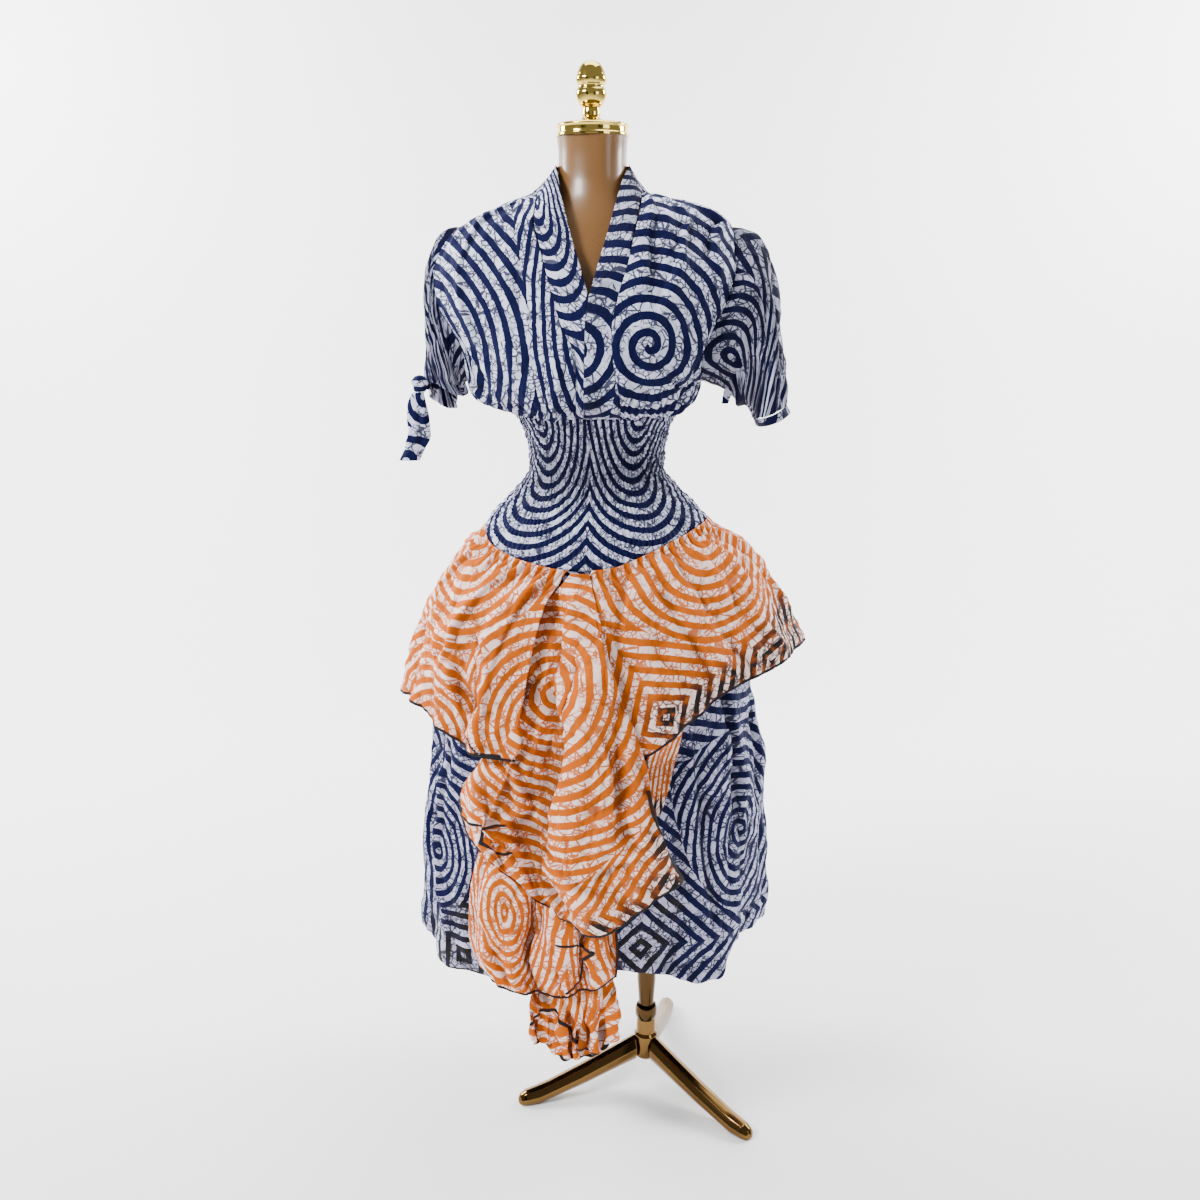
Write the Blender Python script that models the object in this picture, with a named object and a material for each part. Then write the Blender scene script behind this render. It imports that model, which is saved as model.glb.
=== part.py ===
# Handkerchief dress worn on a limbless dress form with a gold cap, finial and tripod stand.
# Metres, +Z up, front towards -Y. Right and left are the wearer's, so right is towards -X.
# An angle called turn is 0 at the front, 90 degrees at +X and 180 at the back.

import math
from collections import namedtuple

import bpy
import numpy as np

# Driving sizes, in metres and degrees
CLOTH = 0.0020
SEAM_GAP = 0.0003
LAYER_GAP = 0.0007
FORM_CLEAR = 0.0018
FORM_BOTTOM = 0.790
FORM_SIDES = 24
WAIST_ROW_STEP = 0.0145
WAIST_TOP = 1.2135
NECK_CENTRE_X = -0.0110
UNDER_GATHER = 0.001
OVER_GATHER = 0.0022
POLE_X = 0.0830
POLE_RADIUS = 0.0165
POLE_FOOT_RADIUS = 0.0130
HUB_RADIUS = 0.0210
LEG_REACH = 0.238
LEG_TURNS = {"stand_leg_right": -163.0, "stand_leg_left": -43.0, "stand_leg_back": 77.0}
UNDERARM = 1.258
SHOULDER_POINT = 1.490
ARMHOLE_STEPS = 8
V_POINT = 1.3935
NECK_SEAM = 1.5365
NECK_EDGE = 1.5746
BAND_ROOM = 0.0012
ARMHOLE_RIGHT = 19.0
ARMHOLE_LEFT = 33.0
ELASTIC_ROWS = 12
WAIST_COLUMNS = 48
SMOCK_RAISE = 0.0016
BODICE_GATHER = 0.0045
CUFF_WIDTH = 0.013
CUFF_SLOPE = (0.45, 0.0, -0.89)
TIE_DROP = 0.0055
KNOT_RADIUS = 0.0125
KNOT_PART = 0.36
BAND_BULGE = 0.004

# How far an ellipse reaches to each side of the garment's middle line
Section = namedtuple("Section", "z left right front back")
# A point of an edge at one height
Edge = namedtuple("Edge", "z x")
# A hem's height at one turn
Hem = namedtuple("Hem", "turn z")
# A fold: where its crest is, how wide and deep it is, and how it leans down the cloth
Fold = namedtuple("Fold", "turn width depth top bottom lean")
# A fold of a front piece, placed across it from 0 to 1
Crest = namedtuple("Crest", "across width depth top bottom lean")

FORM_TOP = [
    Section(1.6147, 0.0635, 0.0414, 0.0520, 0.0520),
    Section(1.590, 0.0615, 0.0395, 0.0500, 0.0500),
    Section(1.560, 0.0620, 0.0400, 0.0510, 0.0520),
    Section(1.535, 0.0670, 0.0450, 0.0560, 0.0600),
    Section(1.512, 0.0840, 0.0630, 0.0650, 0.0700),
    Section(1.495, 0.1150, 0.0970, 0.0730, 0.0790),
    Section(1.478, 0.1480, 0.1330, 0.0810, 0.0860),
    Section(1.450, 0.1760, 0.1600, 0.0950, 0.0930),
    Section(1.400, 0.1840, 0.1640, 0.1100, 0.0970),
    Section(1.350, 0.1800, 0.1580, 0.1260, 0.0960),
    Section(1.310, 0.1700, 0.1500, 0.1300, 0.0940),
    Section(1.265, 0.1500, 0.1340, 0.1230, 0.0930),
]

WAIST = [
    Section(1.2135, 0.1310, 0.1185, 0.1160, 0.0960),
    Section(1.185, 0.1180, 0.1070, 0.1020, 0.0880),
    Section(1.155, 0.1105, 0.1015, 0.0920, 0.0830),
    Section(1.125, 0.1100, 0.1000, 0.0890, 0.0830),
    Section(1.096, 0.1280, 0.1210, 0.1030, 0.0980),
    Section(1.070, 0.1530, 0.1470, 0.1210, 0.1180),
    Section(1.045, 0.1740, 0.1690, 0.1370, 0.1350),
    Section(1.020, 0.1860, 0.1820, 0.1480, 0.1480),
    Section(0.990, 0.1930, 0.1900, 0.1560, 0.1580),
    Section(0.960, 0.1960, 0.1940, 0.1600, 0.1640),
]

FORM_HIPS = [
    Section(0.920, 0.1950, 0.1930, 0.1570, 0.1650),
    Section(0.860, 0.1900, 0.1880, 0.1500, 0.1600),
    Section(0.815, 0.1780, 0.1760, 0.1380, 0.1480),
    Section(0.795, 0.1600, 0.1580, 0.1220, 0.1320),
    Section(FORM_BOTTOM, 0.1450, 0.1430, 0.1080, 0.1180),
]

BODICE = [
    Section(WAIST_TOP, 0.1310, 0.1185, 0.1160, 0.0960),
    Section(1.219, 0.1500, 0.1300, 0.1300, 0.1080),
    Section(1.228, 0.1780, 0.1410, 0.1400, 0.1160),
    Section(1.243, 0.1980, 0.1500, 0.1470, 0.1220),
    Section(1.270, 0.2060, 0.1580, 0.1510, 0.1240),
    Section(1.305, 0.2150, 0.1720, 0.1520, 0.1230),
    Section(1.345, 0.2380, 0.1980, 0.1480, 0.1200),
    Section(1.385, 0.2580, 0.2230, 0.1390, 0.1160),
    Section(1.420, 0.2600, 0.2300, 0.1280, 0.1110),
    Section(1.450, 0.2470, 0.2180, 0.1160, 0.1060),
    Section(1.480, 0.2200, 0.2040, 0.1050, 0.1010),
    Section(1.500, 0.1880, 0.1880, 0.0960, 0.0960),
    Section(1.514, 0.1600, 0.1640, 0.0880, 0.0910),
    Section(1.523, 0.1370, 0.1330, 0.0810, 0.0860),
    Section(1.530, 0.1180, 0.0980, 0.0750, 0.0810),
    Section(NECK_SEAM, 0.1000, 0.0710, 0.0680, 0.0740),
]

UNDERSKIRT = [
    Section(1.045, 0.1740, 0.1690, 0.1370, 0.1350),
    Section(0.990, 0.1960, 0.1930, 0.1590, 0.1610),
    Section(0.950, 0.2060, 0.2030, 0.1670, 0.1730),
    Section(0.900, 0.2200, 0.2140, 0.1740, 0.1880),
    Section(0.800, 0.2480, 0.2400, 0.1800, 0.2120),
    Section(0.700, 0.2680, 0.2580, 0.1840, 0.2300),
    Section(0.626, 0.2760, 0.2690, 0.1860, 0.2400),
    Section(0.550, 0.2880, 0.2700, 0.1850, 0.2450),
    Section(0.477, 0.2990, 0.2760, 0.1820, 0.2480),
    Section(0.400, 0.2970, 0.2800, 0.1790, 0.2480),
    Section(0.333, 0.3050, 0.2760, 0.1760, 0.2460),
    Section(0.220, 0.2920, 0.2680, 0.1700, 0.2420),
]

OVERSKIRT = [
    Section(1.045, 0.1800, 0.1820, 0.1420, 0.1400),
    Section(1.015, 0.2080, 0.2220, 0.1640, 0.1700),
    Section(0.974, 0.2340, 0.2570, 0.1840, 0.2020),
    Section(0.932, 0.2600, 0.2800, 0.1990, 0.2260),
    Section(0.890, 0.2780, 0.2980, 0.2100, 0.2420),
    Section(0.847, 0.2900, 0.3220, 0.2160, 0.2520),
    Section(0.800, 0.3020, 0.3290, 0.2200, 0.2580),
    Section(0.748, 0.3150, 0.3300, 0.2230, 0.2620),
    Section(0.640, 0.3170, 0.3300, 0.2250, 0.2640),
]

# The seam between the smocked waist and the skirts, lower in front than at the sides
WAIST_SEAM = [
    Hem(-180, 1.020),
    Hem(-130, 1.028),
    Hem(-90, 1.034),
    Hem(-62, 1.014),
    Hem(-36, 1.000),
    Hem(-12, 0.992),
    Hem(4, 0.996),
    Hem(22, 1.014),
    Hem(42, 1.032),
    Hem(66, 1.043),
    Hem(90, 1.045),
    Hem(130, 1.034),
]

OVERSKIRT_HEM = [
    Hem(-180, 0.745),
    Hem(-150, 0.672),
    Hem(-120, 0.722),
    Hem(-90, 0.752),
    Hem(-66, 0.762),
    Hem(-50, 0.742),
    Hem(-38, 0.716),
    Hem(-26, 0.708),
    Hem(0, 0.720),
    Hem(11, 0.722),
    Hem(18, 0.748),
    Hem(28, 0.785),
    Hem(38, 0.812),
    Hem(50, 0.828),
    Hem(66, 0.842),
    Hem(88, 0.846),
    Hem(118, 0.800),
    Hem(148, 0.690),
]

UNDERSKIRT_HEM = [
    Hem(-180, 0.300),
    Hem(-150, 0.262),
    Hem(-122, 0.292),
    Hem(-90, 0.318),
    Hem(-62, 0.300),
    Hem(-34, 0.300),
    Hem(0, 0.335),
    Hem(18, 0.324),
    Hem(38, 0.288),
    Hem(45, 0.290),
    Hem(54, 0.345),
    Hem(88, 0.340),
    Hem(120, 0.300),
    Hem(150, 0.258),
]

# Seam of the neck band with each front, and the edge of the open V above the waist
BAND_SEAM_RIGHT = [
    Edge(1.2135, -0.0360),
    Edge(1.301, -0.0350),
    Edge(1.350, -0.0560),
    Edge(1.412, -0.0745),
    Edge(1.454, -0.0859),
    Edge(1.492, -0.0950),
    Edge(NECK_SEAM, -0.0930),
]
BAND_SEAM_LEFT = [
    Edge(1.2135, 0.0300),
    Edge(1.239, 0.0289),
    Edge(1.301, 0.0186),
    Edge(1.345, 0.0170),
    Edge(1.384, 0.0244),
    Edge(1.437, 0.0402),
    Edge(1.474, 0.0476),
    Edge(NECK_SEAM, 0.0640),
]
CENTRE_FRONT = [Edge(1.2135, -0.0245), Edge(1.343, -0.0215), Edge(V_POINT, -0.0160)]

Neckline = namedtuple("Neckline", "z right left y")
NECKLINE = [
    Neckline(V_POINT, -0.0176, -0.0144, -0.1345),
    Neckline(1.430, -0.0280, -0.0040, -0.1190),
    Neckline(1.465, -0.0390, 0.0070, -0.1030),
    Neckline(1.495, -0.0475, 0.0160, -0.0880),
    Neckline(1.524, -0.0545, 0.0240, -0.0680),
    Neckline(1.550, -0.0600, 0.0320, -0.0450),
    Neckline(NECK_EDGE, -0.0650, 0.0430, -0.0150),
]

# Tucks that run down the bodice from the shoulders
Tuck = namedtuple("Tuck", "turn width depth bottom")
TUCKS = [
    Tuck(14.0, 4.5, 0.006, 1.36),
    Tuck(27.0, 4.5, 0.006, 1.36),
    Tuck(-30.0, 4.5, 0.004, 1.36),
    Tuck(-47.0, 4.5, 0.004, 1.36),
]

# A sleeve's hem ring: its middle, half widths, and how it drops outwards and tilts forwards
Cuff = namedtuple("Cuff", "centre across deep drop tilt")
CUFF_RIGHT = Cuff((-0.2475, 0.002, 1.236), 0.024, 0.050, 0.35, 0.45)
CUFF_LEFT = Cuff((0.2640, 0.000, 1.216), 0.0245, 0.062, 0.48, 0.0)

OVERSKIRT_FOLDS = [
    Fold(-104, 7, 0.010, 1.00, 0.70, 10),
    Fold(-84, 6, 0.012, 0.98, 0.70, -8),
    Fold(-62, 6, 0.010, 0.96, 0.70, -14),
    Fold(-45, 5, 0.012, 0.98, 0.68, -20),
    Fold(-30, 4, 0.012, 0.97, 0.68, -22),
    Fold(16, 5, 0.006, 0.97, 0.70, 4),
    Fold(33, 6, -0.006, 1.00, 0.80, 8),
    Fold(58, 8, 0.009, 1.00, 0.80, 10),
    Fold(82, 8, 0.012, 0.98, 0.80, 14),
    Fold(112, 8, 0.014, 0.98, 0.66, 10),
    Fold(138, 7, 0.015, 0.98, 0.66, 6),
    Fold(163, 8, 0.013, 0.97, 0.66, 2),
    Fold(-172, 8, 0.012, 0.97, 0.66, -2),
    Fold(-150, 7, 0.015, 0.98, 0.66, -6),
    Fold(-127, 7, 0.013, 0.98, 0.66, -8),
]

UNDERSKIRT_FOLDS = [
    Fold(-100, 9, 0.012, 0.90, 0.22, 6),
    Fold(-76, 8, -0.012, 0.90, 0.22, 4),
    Fold(-58, 7, 0.009, 0.80, 0.22, 3),
    Fold(28, 7, -0.006, 0.80, 0.22, 2),
    Fold(47, 6, 0.007, 0.80, 0.22, -3),
    Fold(66, 7, -0.008, 0.80, 0.22, -2),
    Fold(86, 7, 0.008, 0.80, 0.22, 3),
    Fold(108, 9, -0.014, 0.85, 0.22, 4),
    Fold(130, 8, 0.014, 0.85, 0.22, 4),
    Fold(152, 8, -0.012, 0.85, 0.22, 2),
    Fold(174, 8, 0.013, 0.85, 0.22, 0),
    Fold(-163, 8, -0.013, 0.85, 0.22, -2),
    Fold(-142, 8, 0.014, 0.85, 0.22, -4),
    Fold(-121, 8, -0.012, 0.85, 0.22, -4),
]

# A front piece's two side edges, from its top at 0 to its bottom at 1
Sides = namedtuple("Sides", "down left_x left_z right_x right_z")
DRAPE_SIDES = [
    Sides(0.00, -0.044, 0.9900, -0.016, 0.9905),
    Sides(0.12, -0.086, 0.9350, 0.000, 0.9300),
    Sides(0.25, -0.106, 0.8700, 0.016, 0.8680),
    Sides(0.38, -0.122, 0.8050, 0.034, 0.8120),
    Sides(0.50, -0.150, 0.7450, 0.055, 0.7580),
    Sides(0.62, -0.188, 0.6880, 0.070, 0.7050),
    Sides(0.75, -0.221, 0.6150, 0.080, 0.6500),
    Sides(0.88, -0.213, 0.5780, 0.098, 0.5900),
    Sides(1.00, -0.188, 0.5470, 0.130, 0.5270),
]
DRAPE_BELLY = 0.088
# How far a front piece stands off the underskirt, across it, at its fullest
Depth = namedtuple("Depth", "across y")
DRAPE_DEPTH = [
    Depth(0.00, 0.0160),
    Depth(0.12, 0.0220),
    Depth(0.26, 0.0140),
    Depth(0.36, 0.0120),
    Depth(0.44, 0.0260),
    Depth(0.52, 0.0560),
    Depth(0.66, 0.0680),
    Depth(0.84, 0.0620),
    Depth(1.00, 0.0500),
]
DRAPE_BELLY_DEPTH = 0.024
# How far the drape's hollow lies to the right at its top, as a part of its width
DRAPE_LEAN = 0.12
DRAPE_FOLDS = [
    Crest(0.08, 0.06, 0.010, 0.30, 1.10, 0.00),
    Crest(0.24, 0.06, 0.012, 0.35, 1.10, 0.02),
    Crest(0.40, 0.06, -0.008, 0.10, 0.75, 0.04),
    Crest(0.62, 0.07, 0.008, 0.15, 0.90, -0.06),
    Crest(0.90, 0.05, 0.006, 0.40, 1.10, 0.05),
]

LOWER_SIDES = [
    Sides(0.00, -0.176, 0.5800, -0.020, 0.5700),
    Sides(0.25, -0.196, 0.5200, 0.012, 0.5000),
    Sides(0.50, -0.211, 0.4500, 0.026, 0.4300),
    Sides(0.75, -0.215, 0.3800, 0.030, 0.3700),
    Sides(1.00, -0.196, 0.3200, 0.027, 0.3320),
]
LOWER_BELLY = 0.030
LOWER_DEPTH = [
    Depth(0.00, 0.0080),
    Depth(0.18, 0.0300),
    Depth(0.34, 0.0260),
    Depth(0.44, 0.0160),
    Depth(0.60, 0.0260),
    Depth(0.80, 0.0240),
    Depth(1.00, 0.0140),
]
LOWER_FOLDS = [
    Crest(0.12, 0.07, 0.008, 0.10, 1.00, 0.02),
    Crest(0.28, 0.07, 0.008, 0.05, 1.00, 0.03),
    Crest(0.43, 0.07, -0.009, 0.05, 1.10, 0.00),
    Crest(0.58, 0.07, 0.008, 0.05, 1.10, 0.05),
    Crest(0.73, 0.06, -0.006, 0.20, 1.10, 0.02),
    Crest(0.87, 0.07, 0.007, 0.20, 1.10, -0.02),
]

TAIL_SIDES = [
    Sides(0.00, -0.110, 0.3060, 0.020, 0.3280),
    Sides(0.35, -0.116, 0.2720, 0.032, 0.2880),
    Sides(0.70, -0.116, 0.2380, 0.034, 0.2520),
    Sides(1.00, -0.104, 0.2120, 0.030, 0.2260),
]
TAIL_BELLY = 0.022
TAIL_WAVES = 6
TAIL_WAVE_DEPTH = 0.0045
TAIL_OUT = 0.012
TAIL_BEHIND = 0.0036

INSET_SIDES = [
    Sides(0.00, 0.068, 0.7700, 0.128, 0.7900),
    Sides(0.40, 0.072, 0.7050, 0.120, 0.7150),
    Sides(0.75, 0.078, 0.6450, 0.106, 0.6500),
    Sides(1.00, 0.084, 0.6080, 0.094, 0.6100),
]

# Materials: base colour, roughness and metallic value
MATERIALS = {
    "navy_print": ((0.30, 0.33, 0.55), 0.80, 0.0),
    "orange_print": ((0.84, 0.52, 0.36), 0.80, 0.0),
    "form_brown": ((0.32, 0.18, 0.09), 0.30, 0.0),
    "polished_gold": ((0.80, 0.55, 0.20), 0.15, 1.0),
}


def clear_scene():
    for item in list(bpy.data.objects):
        bpy.data.objects.remove(item, do_unlink=True)


def material(name):
    """One Principled material for each finish, made on first use."""
    found = bpy.data.materials.get(name)
    if found:
        return found
    colour, roughness, metallic = MATERIALS[name]
    made = bpy.data.materials.new(name)
    made.use_nodes = True
    shader = made.node_tree.nodes["Principled BSDF"]
    shader.inputs["Base Color"].default_value = (*colour, 1.0)
    shader.inputs["Roughness"].default_value = roughness
    shader.inputs["Metallic"].default_value = metallic
    return made


def curve(keys, values, key):
    """A smooth curve through the rows of a table that never swings past its rows."""
    order = np.argsort(keys)
    x = np.asarray(keys, float)[order]
    y = np.asarray(values, float)[order]
    if key <= x[0]:
        return float(y[0])
    if key >= x[-1]:
        return float(y[-1])
    step = np.diff(x)
    slope = np.diff(y) / step
    tangent = np.zeros(len(x))
    tangent[0], tangent[-1] = slope[0], slope[-1]
    for i in range(1, len(x) - 1):
        if slope[i - 1] * slope[i] > 0:
            tangent[i] = 2.0 * slope[i - 1] * slope[i] / (slope[i - 1] + slope[i])
    i = int(np.searchsorted(x, key)) - 1
    t = (key - x[i]) / step[i]
    rise = (2 * t**3 - 3 * t**2 + 1) * y[i] + (3 * t**2 - 2 * t**3) * y[i + 1]
    bend = (t**3 - 2 * t**2 + t) * tangent[i] + (t**3 - t**2) * tangent[i + 1]
    return float(rise + step[i] * bend)


def read(table, key_name, column, key):
    keys = [getattr(row, key_name) for row in table]
    values = [getattr(row, column) for row in table]
    return curve(keys, values, key)


def reaches(table, z):
    """How far the garment reaches left, right, front and back at one height."""
    return np.array([read(table, "z", side, z) for side in ("left", "right", "front", "back")])


def hem_height(table, turn):
    """A hem's height at a turn, the same at -180 and 180 degrees."""
    turn = (turn + 180.0) % 360.0 - 180.0
    turns = [row.turn for row in table] + [row.turn + 360.0 for row in table]
    turns += [row.turn - 360.0 for row in table]
    heights = [row.z for row in table] * 3
    return curve(turns, heights, turn)


def ease(t):
    t = min(max(t, 0.0), 1.0)
    return t * t * (3.0 - 2.0 * t)


def on_section(reach, turn, z, out=0.0):
    """The point at one turn of a section, moved out from it."""
    angle = math.radians(turn)
    side = reach[1] if math.sin(angle) > 0 else reach[0]
    deep = reach[2] if math.cos(angle) > 0 else reach[3]
    return np.array([(side + out) * math.sin(angle), -(deep + out) * math.cos(angle), z])


def turn_of(reach, x):
    """The turn at which the front of a section lies at x."""
    side = reach[1] if x > 0 else reach[0]
    return math.degrees(math.asin(min(max(x / side, -1.0), 1.0)))


def fold_height(folds, turn, z):
    """The sum of a skirt's folds at one place."""
    total = 0.0
    for fold in folds:
        centre = fold.turn + fold.lean * (fold.top - z)
        away = (turn - centre + 180.0) % 360.0 - 180.0
        shape = math.exp(-((away / fold.width) ** 2))
        grow = ease((fold.top - z) / 0.16)
        total += fold.depth * shape * grow
    return total


def gathers(turn, count, shift):
    """Uneven small waves round the garment, the mixture of three rates."""
    angle = math.radians(turn)
    first = math.cos(count * angle + shift)
    second = 0.6 * math.cos((count + 5) * angle + 2.1 * shift)
    third = 0.4 * math.cos((count - 7) * angle + 3.7 * shift)
    return (first + second + third) / 2.0


def link(name, points, faces, finish):
    """Makes one object from points and faces, with its faces turned outwards."""
    points = np.asarray(points, float)
    volume = 0.0
    for face in faces:
        for k in range(1, len(face) - 1):
            a, b, c = points[face[0]], points[face[k]], points[face[k + 1]]
            volume += float(np.dot(a, np.cross(b, c)))
    if volume < 0:
        faces = [tuple(reversed(face)) for face in faces]
    mesh = bpy.data.meshes.new(name)
    mesh.from_pydata([tuple(p) for p in points], [], faces)
    mesh.shade_smooth()
    mesh.set_sharp_from_angle(angle=math.radians(40.0))
    mesh.materials.append(material(finish))
    item = bpy.data.objects.new(name, mesh)
    bpy.context.scene.collection.objects.link(item)
    return item


def grid_normals(grid, wrap):
    """Directions out of a grid whose rows go up and whose columns go from left to right."""
    if wrap:
        across = np.roll(grid, -1, axis=1) - np.roll(grid, 1, axis=1)
    else:
        across = np.gradient(grid, axis=1)
    up = np.gradient(grid, axis=0)
    normal = np.cross(across, up)
    length = np.linalg.norm(normal, axis=2, keepdims=True)
    return normal / np.maximum(length, 1e-9)


def grid_faces(rows, columns, wrap, start, back):
    """The four-sided faces of one side of a wall."""
    faces = []
    last = columns if wrap else columns - 1
    for i in range(rows - 1):
        for j in range(last):
            k = (j + 1) % columns
            a = start + i * columns + j
            b = start + i * columns + k
            c = start + (i + 1) * columns + k
            d = start + (i + 1) * columns + j
            faces.append((d, c, b, a) if back else (a, b, c, d))
    return faces


def rim_normals(grid, wrap, level):
    """Directions out of a grid, turned level along the rows that meet another piece."""
    normal = grid_normals(grid, wrap)
    for row in level:
        flat = normal[row] * np.array([1.0, 1.0, 0.0])
        normal[row] = flat / np.linalg.norm(flat, axis=1, keepdims=True)
    return normal


def wall(name, grid, finish, wrap=False, thickness=CLOTH, raised=None, inner=None, level=(), margin=0):
    """A closed wall of cloth round a grid of points on its middle surface.

    With a margin, the grid's first and last columns lie past its seams: they only give
    the seams the direction that the cloth has there on both sides.
    """
    grid = np.asarray(grid, float)
    outward = rim_normals(grid, wrap, level)
    if margin:
        grid, outward = grid[:, 1:-1], outward[:, 1:-1]
    outer = grid + outward * (thickness / 2.0)
    if raised is not None:
        outer = outer + outward * np.asarray(raised)[:, :, None]
    if inner is None:
        inside = grid - outward * (thickness / 2.0)
    else:
        base = np.asarray(inner, float)
        inside = base - rim_normals(base, wrap, level) * (thickness / 2.0)
    rows, columns = outer.shape[:2]
    inner_rows = inside.shape[0]
    start = rows * columns
    faces = grid_faces(rows, columns, wrap, 0, False)
    faces += grid_faces(inner_rows, columns, wrap, start, True)
    last = columns if wrap else columns - 1
    top, inner_top = (rows - 1) * columns, start + (inner_rows - 1) * columns
    for j in range(last):
        k = (j + 1) % columns
        faces.append((j, start + j, start + k, k))
        faces.append((top + j, top + k, inner_top + k, inner_top + j))
    if not wrap:
        for i in range(rows - 1):
            for j, left in ((0, True), (columns - 1, False)):
                a, b = i * columns + j, (i + 1) * columns + j
                c, d = start + b, start + a
                faces.append((a, b, c, d) if left else (d, c, b, a))
    points = np.concatenate([outer.reshape(-1, 3), inside.reshape(-1, 3)])
    return link(name, points, faces, finish)


def turned(name, profile, centre, finish, segments=20):
    """A solid of revolution from a profile of radius and height, top to bottom."""
    points, faces = [(centre[0], centre[1], profile[0][1])], []
    rings = profile[1:-1]
    for radius, z in rings:
        for k in range(segments):
            angle = 2.0 * math.pi * k / segments
            points.append((centre[0] + radius * math.cos(angle), centre[1] + radius * math.sin(angle), z))
    points.append((centre[0], centre[1], profile[-1][1]))
    last = len(points) - 1
    for k in range(segments):
        n = (k + 1) % segments
        faces.append((0, 1 + k, 1 + n))
        for i in range(len(rings) - 1):
            a, b = 1 + i * segments, 1 + (i + 1) * segments
            faces.append((a + k, b + k, b + n, a + n))
        end = 1 + (len(rings) - 1) * segments
        faces.append((last, end + n, end + k))
    return link(name, points, faces, finish)


def lofted(name, rings, finish):
    """A closed solid through rings of equal counts, with flat ends."""
    count = len(rings[0])
    points = np.concatenate([np.asarray(ring, float) for ring in rings])
    faces = [tuple(range(count))[::-1]]
    for i in range(len(rings) - 1):
        a, b = i * count, (i + 1) * count
        for k in range(count):
            n = (k + 1) % count
            faces.append((a + k, a + n, b + n, b + k))
    end = (len(rings) - 1) * count
    faces.append(tuple(range(end, end + count)))
    return link(name, points, faces, finish)


def make_form():
    """The limbless form: neck, sloped shoulders, bust, a drawn-in waist and hips."""
    clear = CLOTH / 2.0 + FORM_CLEAR
    waist = [Section(r.z, r.left - clear, r.right - clear, r.front - clear, r.back - clear) for r in WAIST]
    table = FORM_TOP + waist + FORM_HIPS
    heights = [row.z for row in FORM_TOP]
    heights += [WAIST_TOP - WAIST_ROW_STEP * i for i in range(18)]
    heights += [row.z for row in FORM_HIPS]
    rings = []
    for z in heights:
        reach = reaches(table, z)
        rings.append([on_section(reach, -180.0 + 360.0 * k / FORM_SIDES, z) for k in range(FORM_SIDES)])
    lofted("dress_form", rings[::-1], "form_brown")


def waist_point(turn, z, out=0.0):
    return on_section(reaches(WAIST, z), turn, z, out)


def make_waist():
    """The smocked waist: rows of elastic raised on the outside of a plain wall."""
    rows = 2 * ELASTIC_ROWS + 1
    turns = [-180.0 + 360.0 * j / WAIST_COLUMNS for j in range(WAIST_COLUMNS)]

    def ring(part):
        points = []
        for turn in turns:
            low = hem_height(WAIST_SEAM, turn)
            points.append(waist_point(turn, low + (WAIST_TOP - low) * part))
        return points

    grid = [ring(i / (rows - 1)) for i in range(rows)]
    inner = [ring(i / (ELASTIC_ROWS - 1)) for i in range(ELASTIC_ROWS)]
    raised = np.zeros((rows, WAIST_COLUMNS))
    for i in range(1, rows - 1):
        for j, turn in enumerate(turns):
            pucker = 0.75 + 0.25 * gathers(turn, 29, 1.3 * i)
            raised[i, j] = SMOCK_RAISE * pucker if i % 2 else 0.0
    wall("waist_smocking", grid, "navy_print", wrap=True, raised=raised, inner=inner, level=(0, -1))


def bodice_heights():
    """Rows of the bodice: the gathered waist, the armhole, then the shoulder."""
    heights = [WAIST_TOP + SEAM_GAP, 1.2185, 1.228, 1.243]
    middle = (UNDERARM + SHOULDER_POINT) / 2.0
    half = (SHOULDER_POINT - UNDERARM) / 2.0
    for step in range(ARMHOLE_STEPS + 1):
        heights.append(middle - half * math.cos(math.pi * step / ARMHOLE_STEPS))
    return heights + [1.504, 1.514, 1.523, 1.530, NECK_SEAM]


def armhole_turn(z, widest):
    """How many degrees the armhole takes off a panel's side at one height."""
    if z <= UNDERARM or z >= SHOULDER_POINT:
        return 0.0
    part = (z - UNDERARM) / (SHOULDER_POINT - UNDERARM)
    return widest * math.sin(math.acos(1.0 - 2.0 * part))


def bodice_point(turn, z):
    """A point of the bodice, with gathers that open out above the smocked waist."""
    lift = (z - WAIST_TOP) / 0.10
    beside = abs(abs((turn + 180.0) % 360.0 - 180.0) - 90.0)
    gather = BODICE_GATHER * gathers(turn, 23, 0.8) * ease(lift * 4.0) * (1.0 - ease(lift))
    gather *= ease(beside / 16.0)
    tuck = 0.0
    for row in TUCKS:
        shape = math.exp(-(((turn - row.turn) / row.width) ** 2))
        tuck += row.depth * shape * ease((z - row.bottom) / 0.08)
    tuck *= 1.0 - ease((z - 1.49) / 0.03)
    return on_section(reaches(BODICE, z), turn, z, gather + tuck)


def gap_turn(z):
    """Half of a seam's gap at the side of the body, in degrees."""
    return math.degrees(SEAM_GAP / 2.0 / (reaches(BODICE, z)[2] * 0.9))


def panel(turns_at, heights, columns, point):
    """A grid between two turns that change with height, with a column past each side."""
    grid = []
    for z in heights:
        start, end = turns_at(z)
        step = (end - start) / (columns - 1)
        grid.append([point(start + step * j, z) for j in range(-1, columns + 1)])
    return grid


def seam_turn(table, z, shift):
    reach = reaches(BODICE, z)
    return turn_of(reach, read(table, "z", "x", z) + shift)


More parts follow.
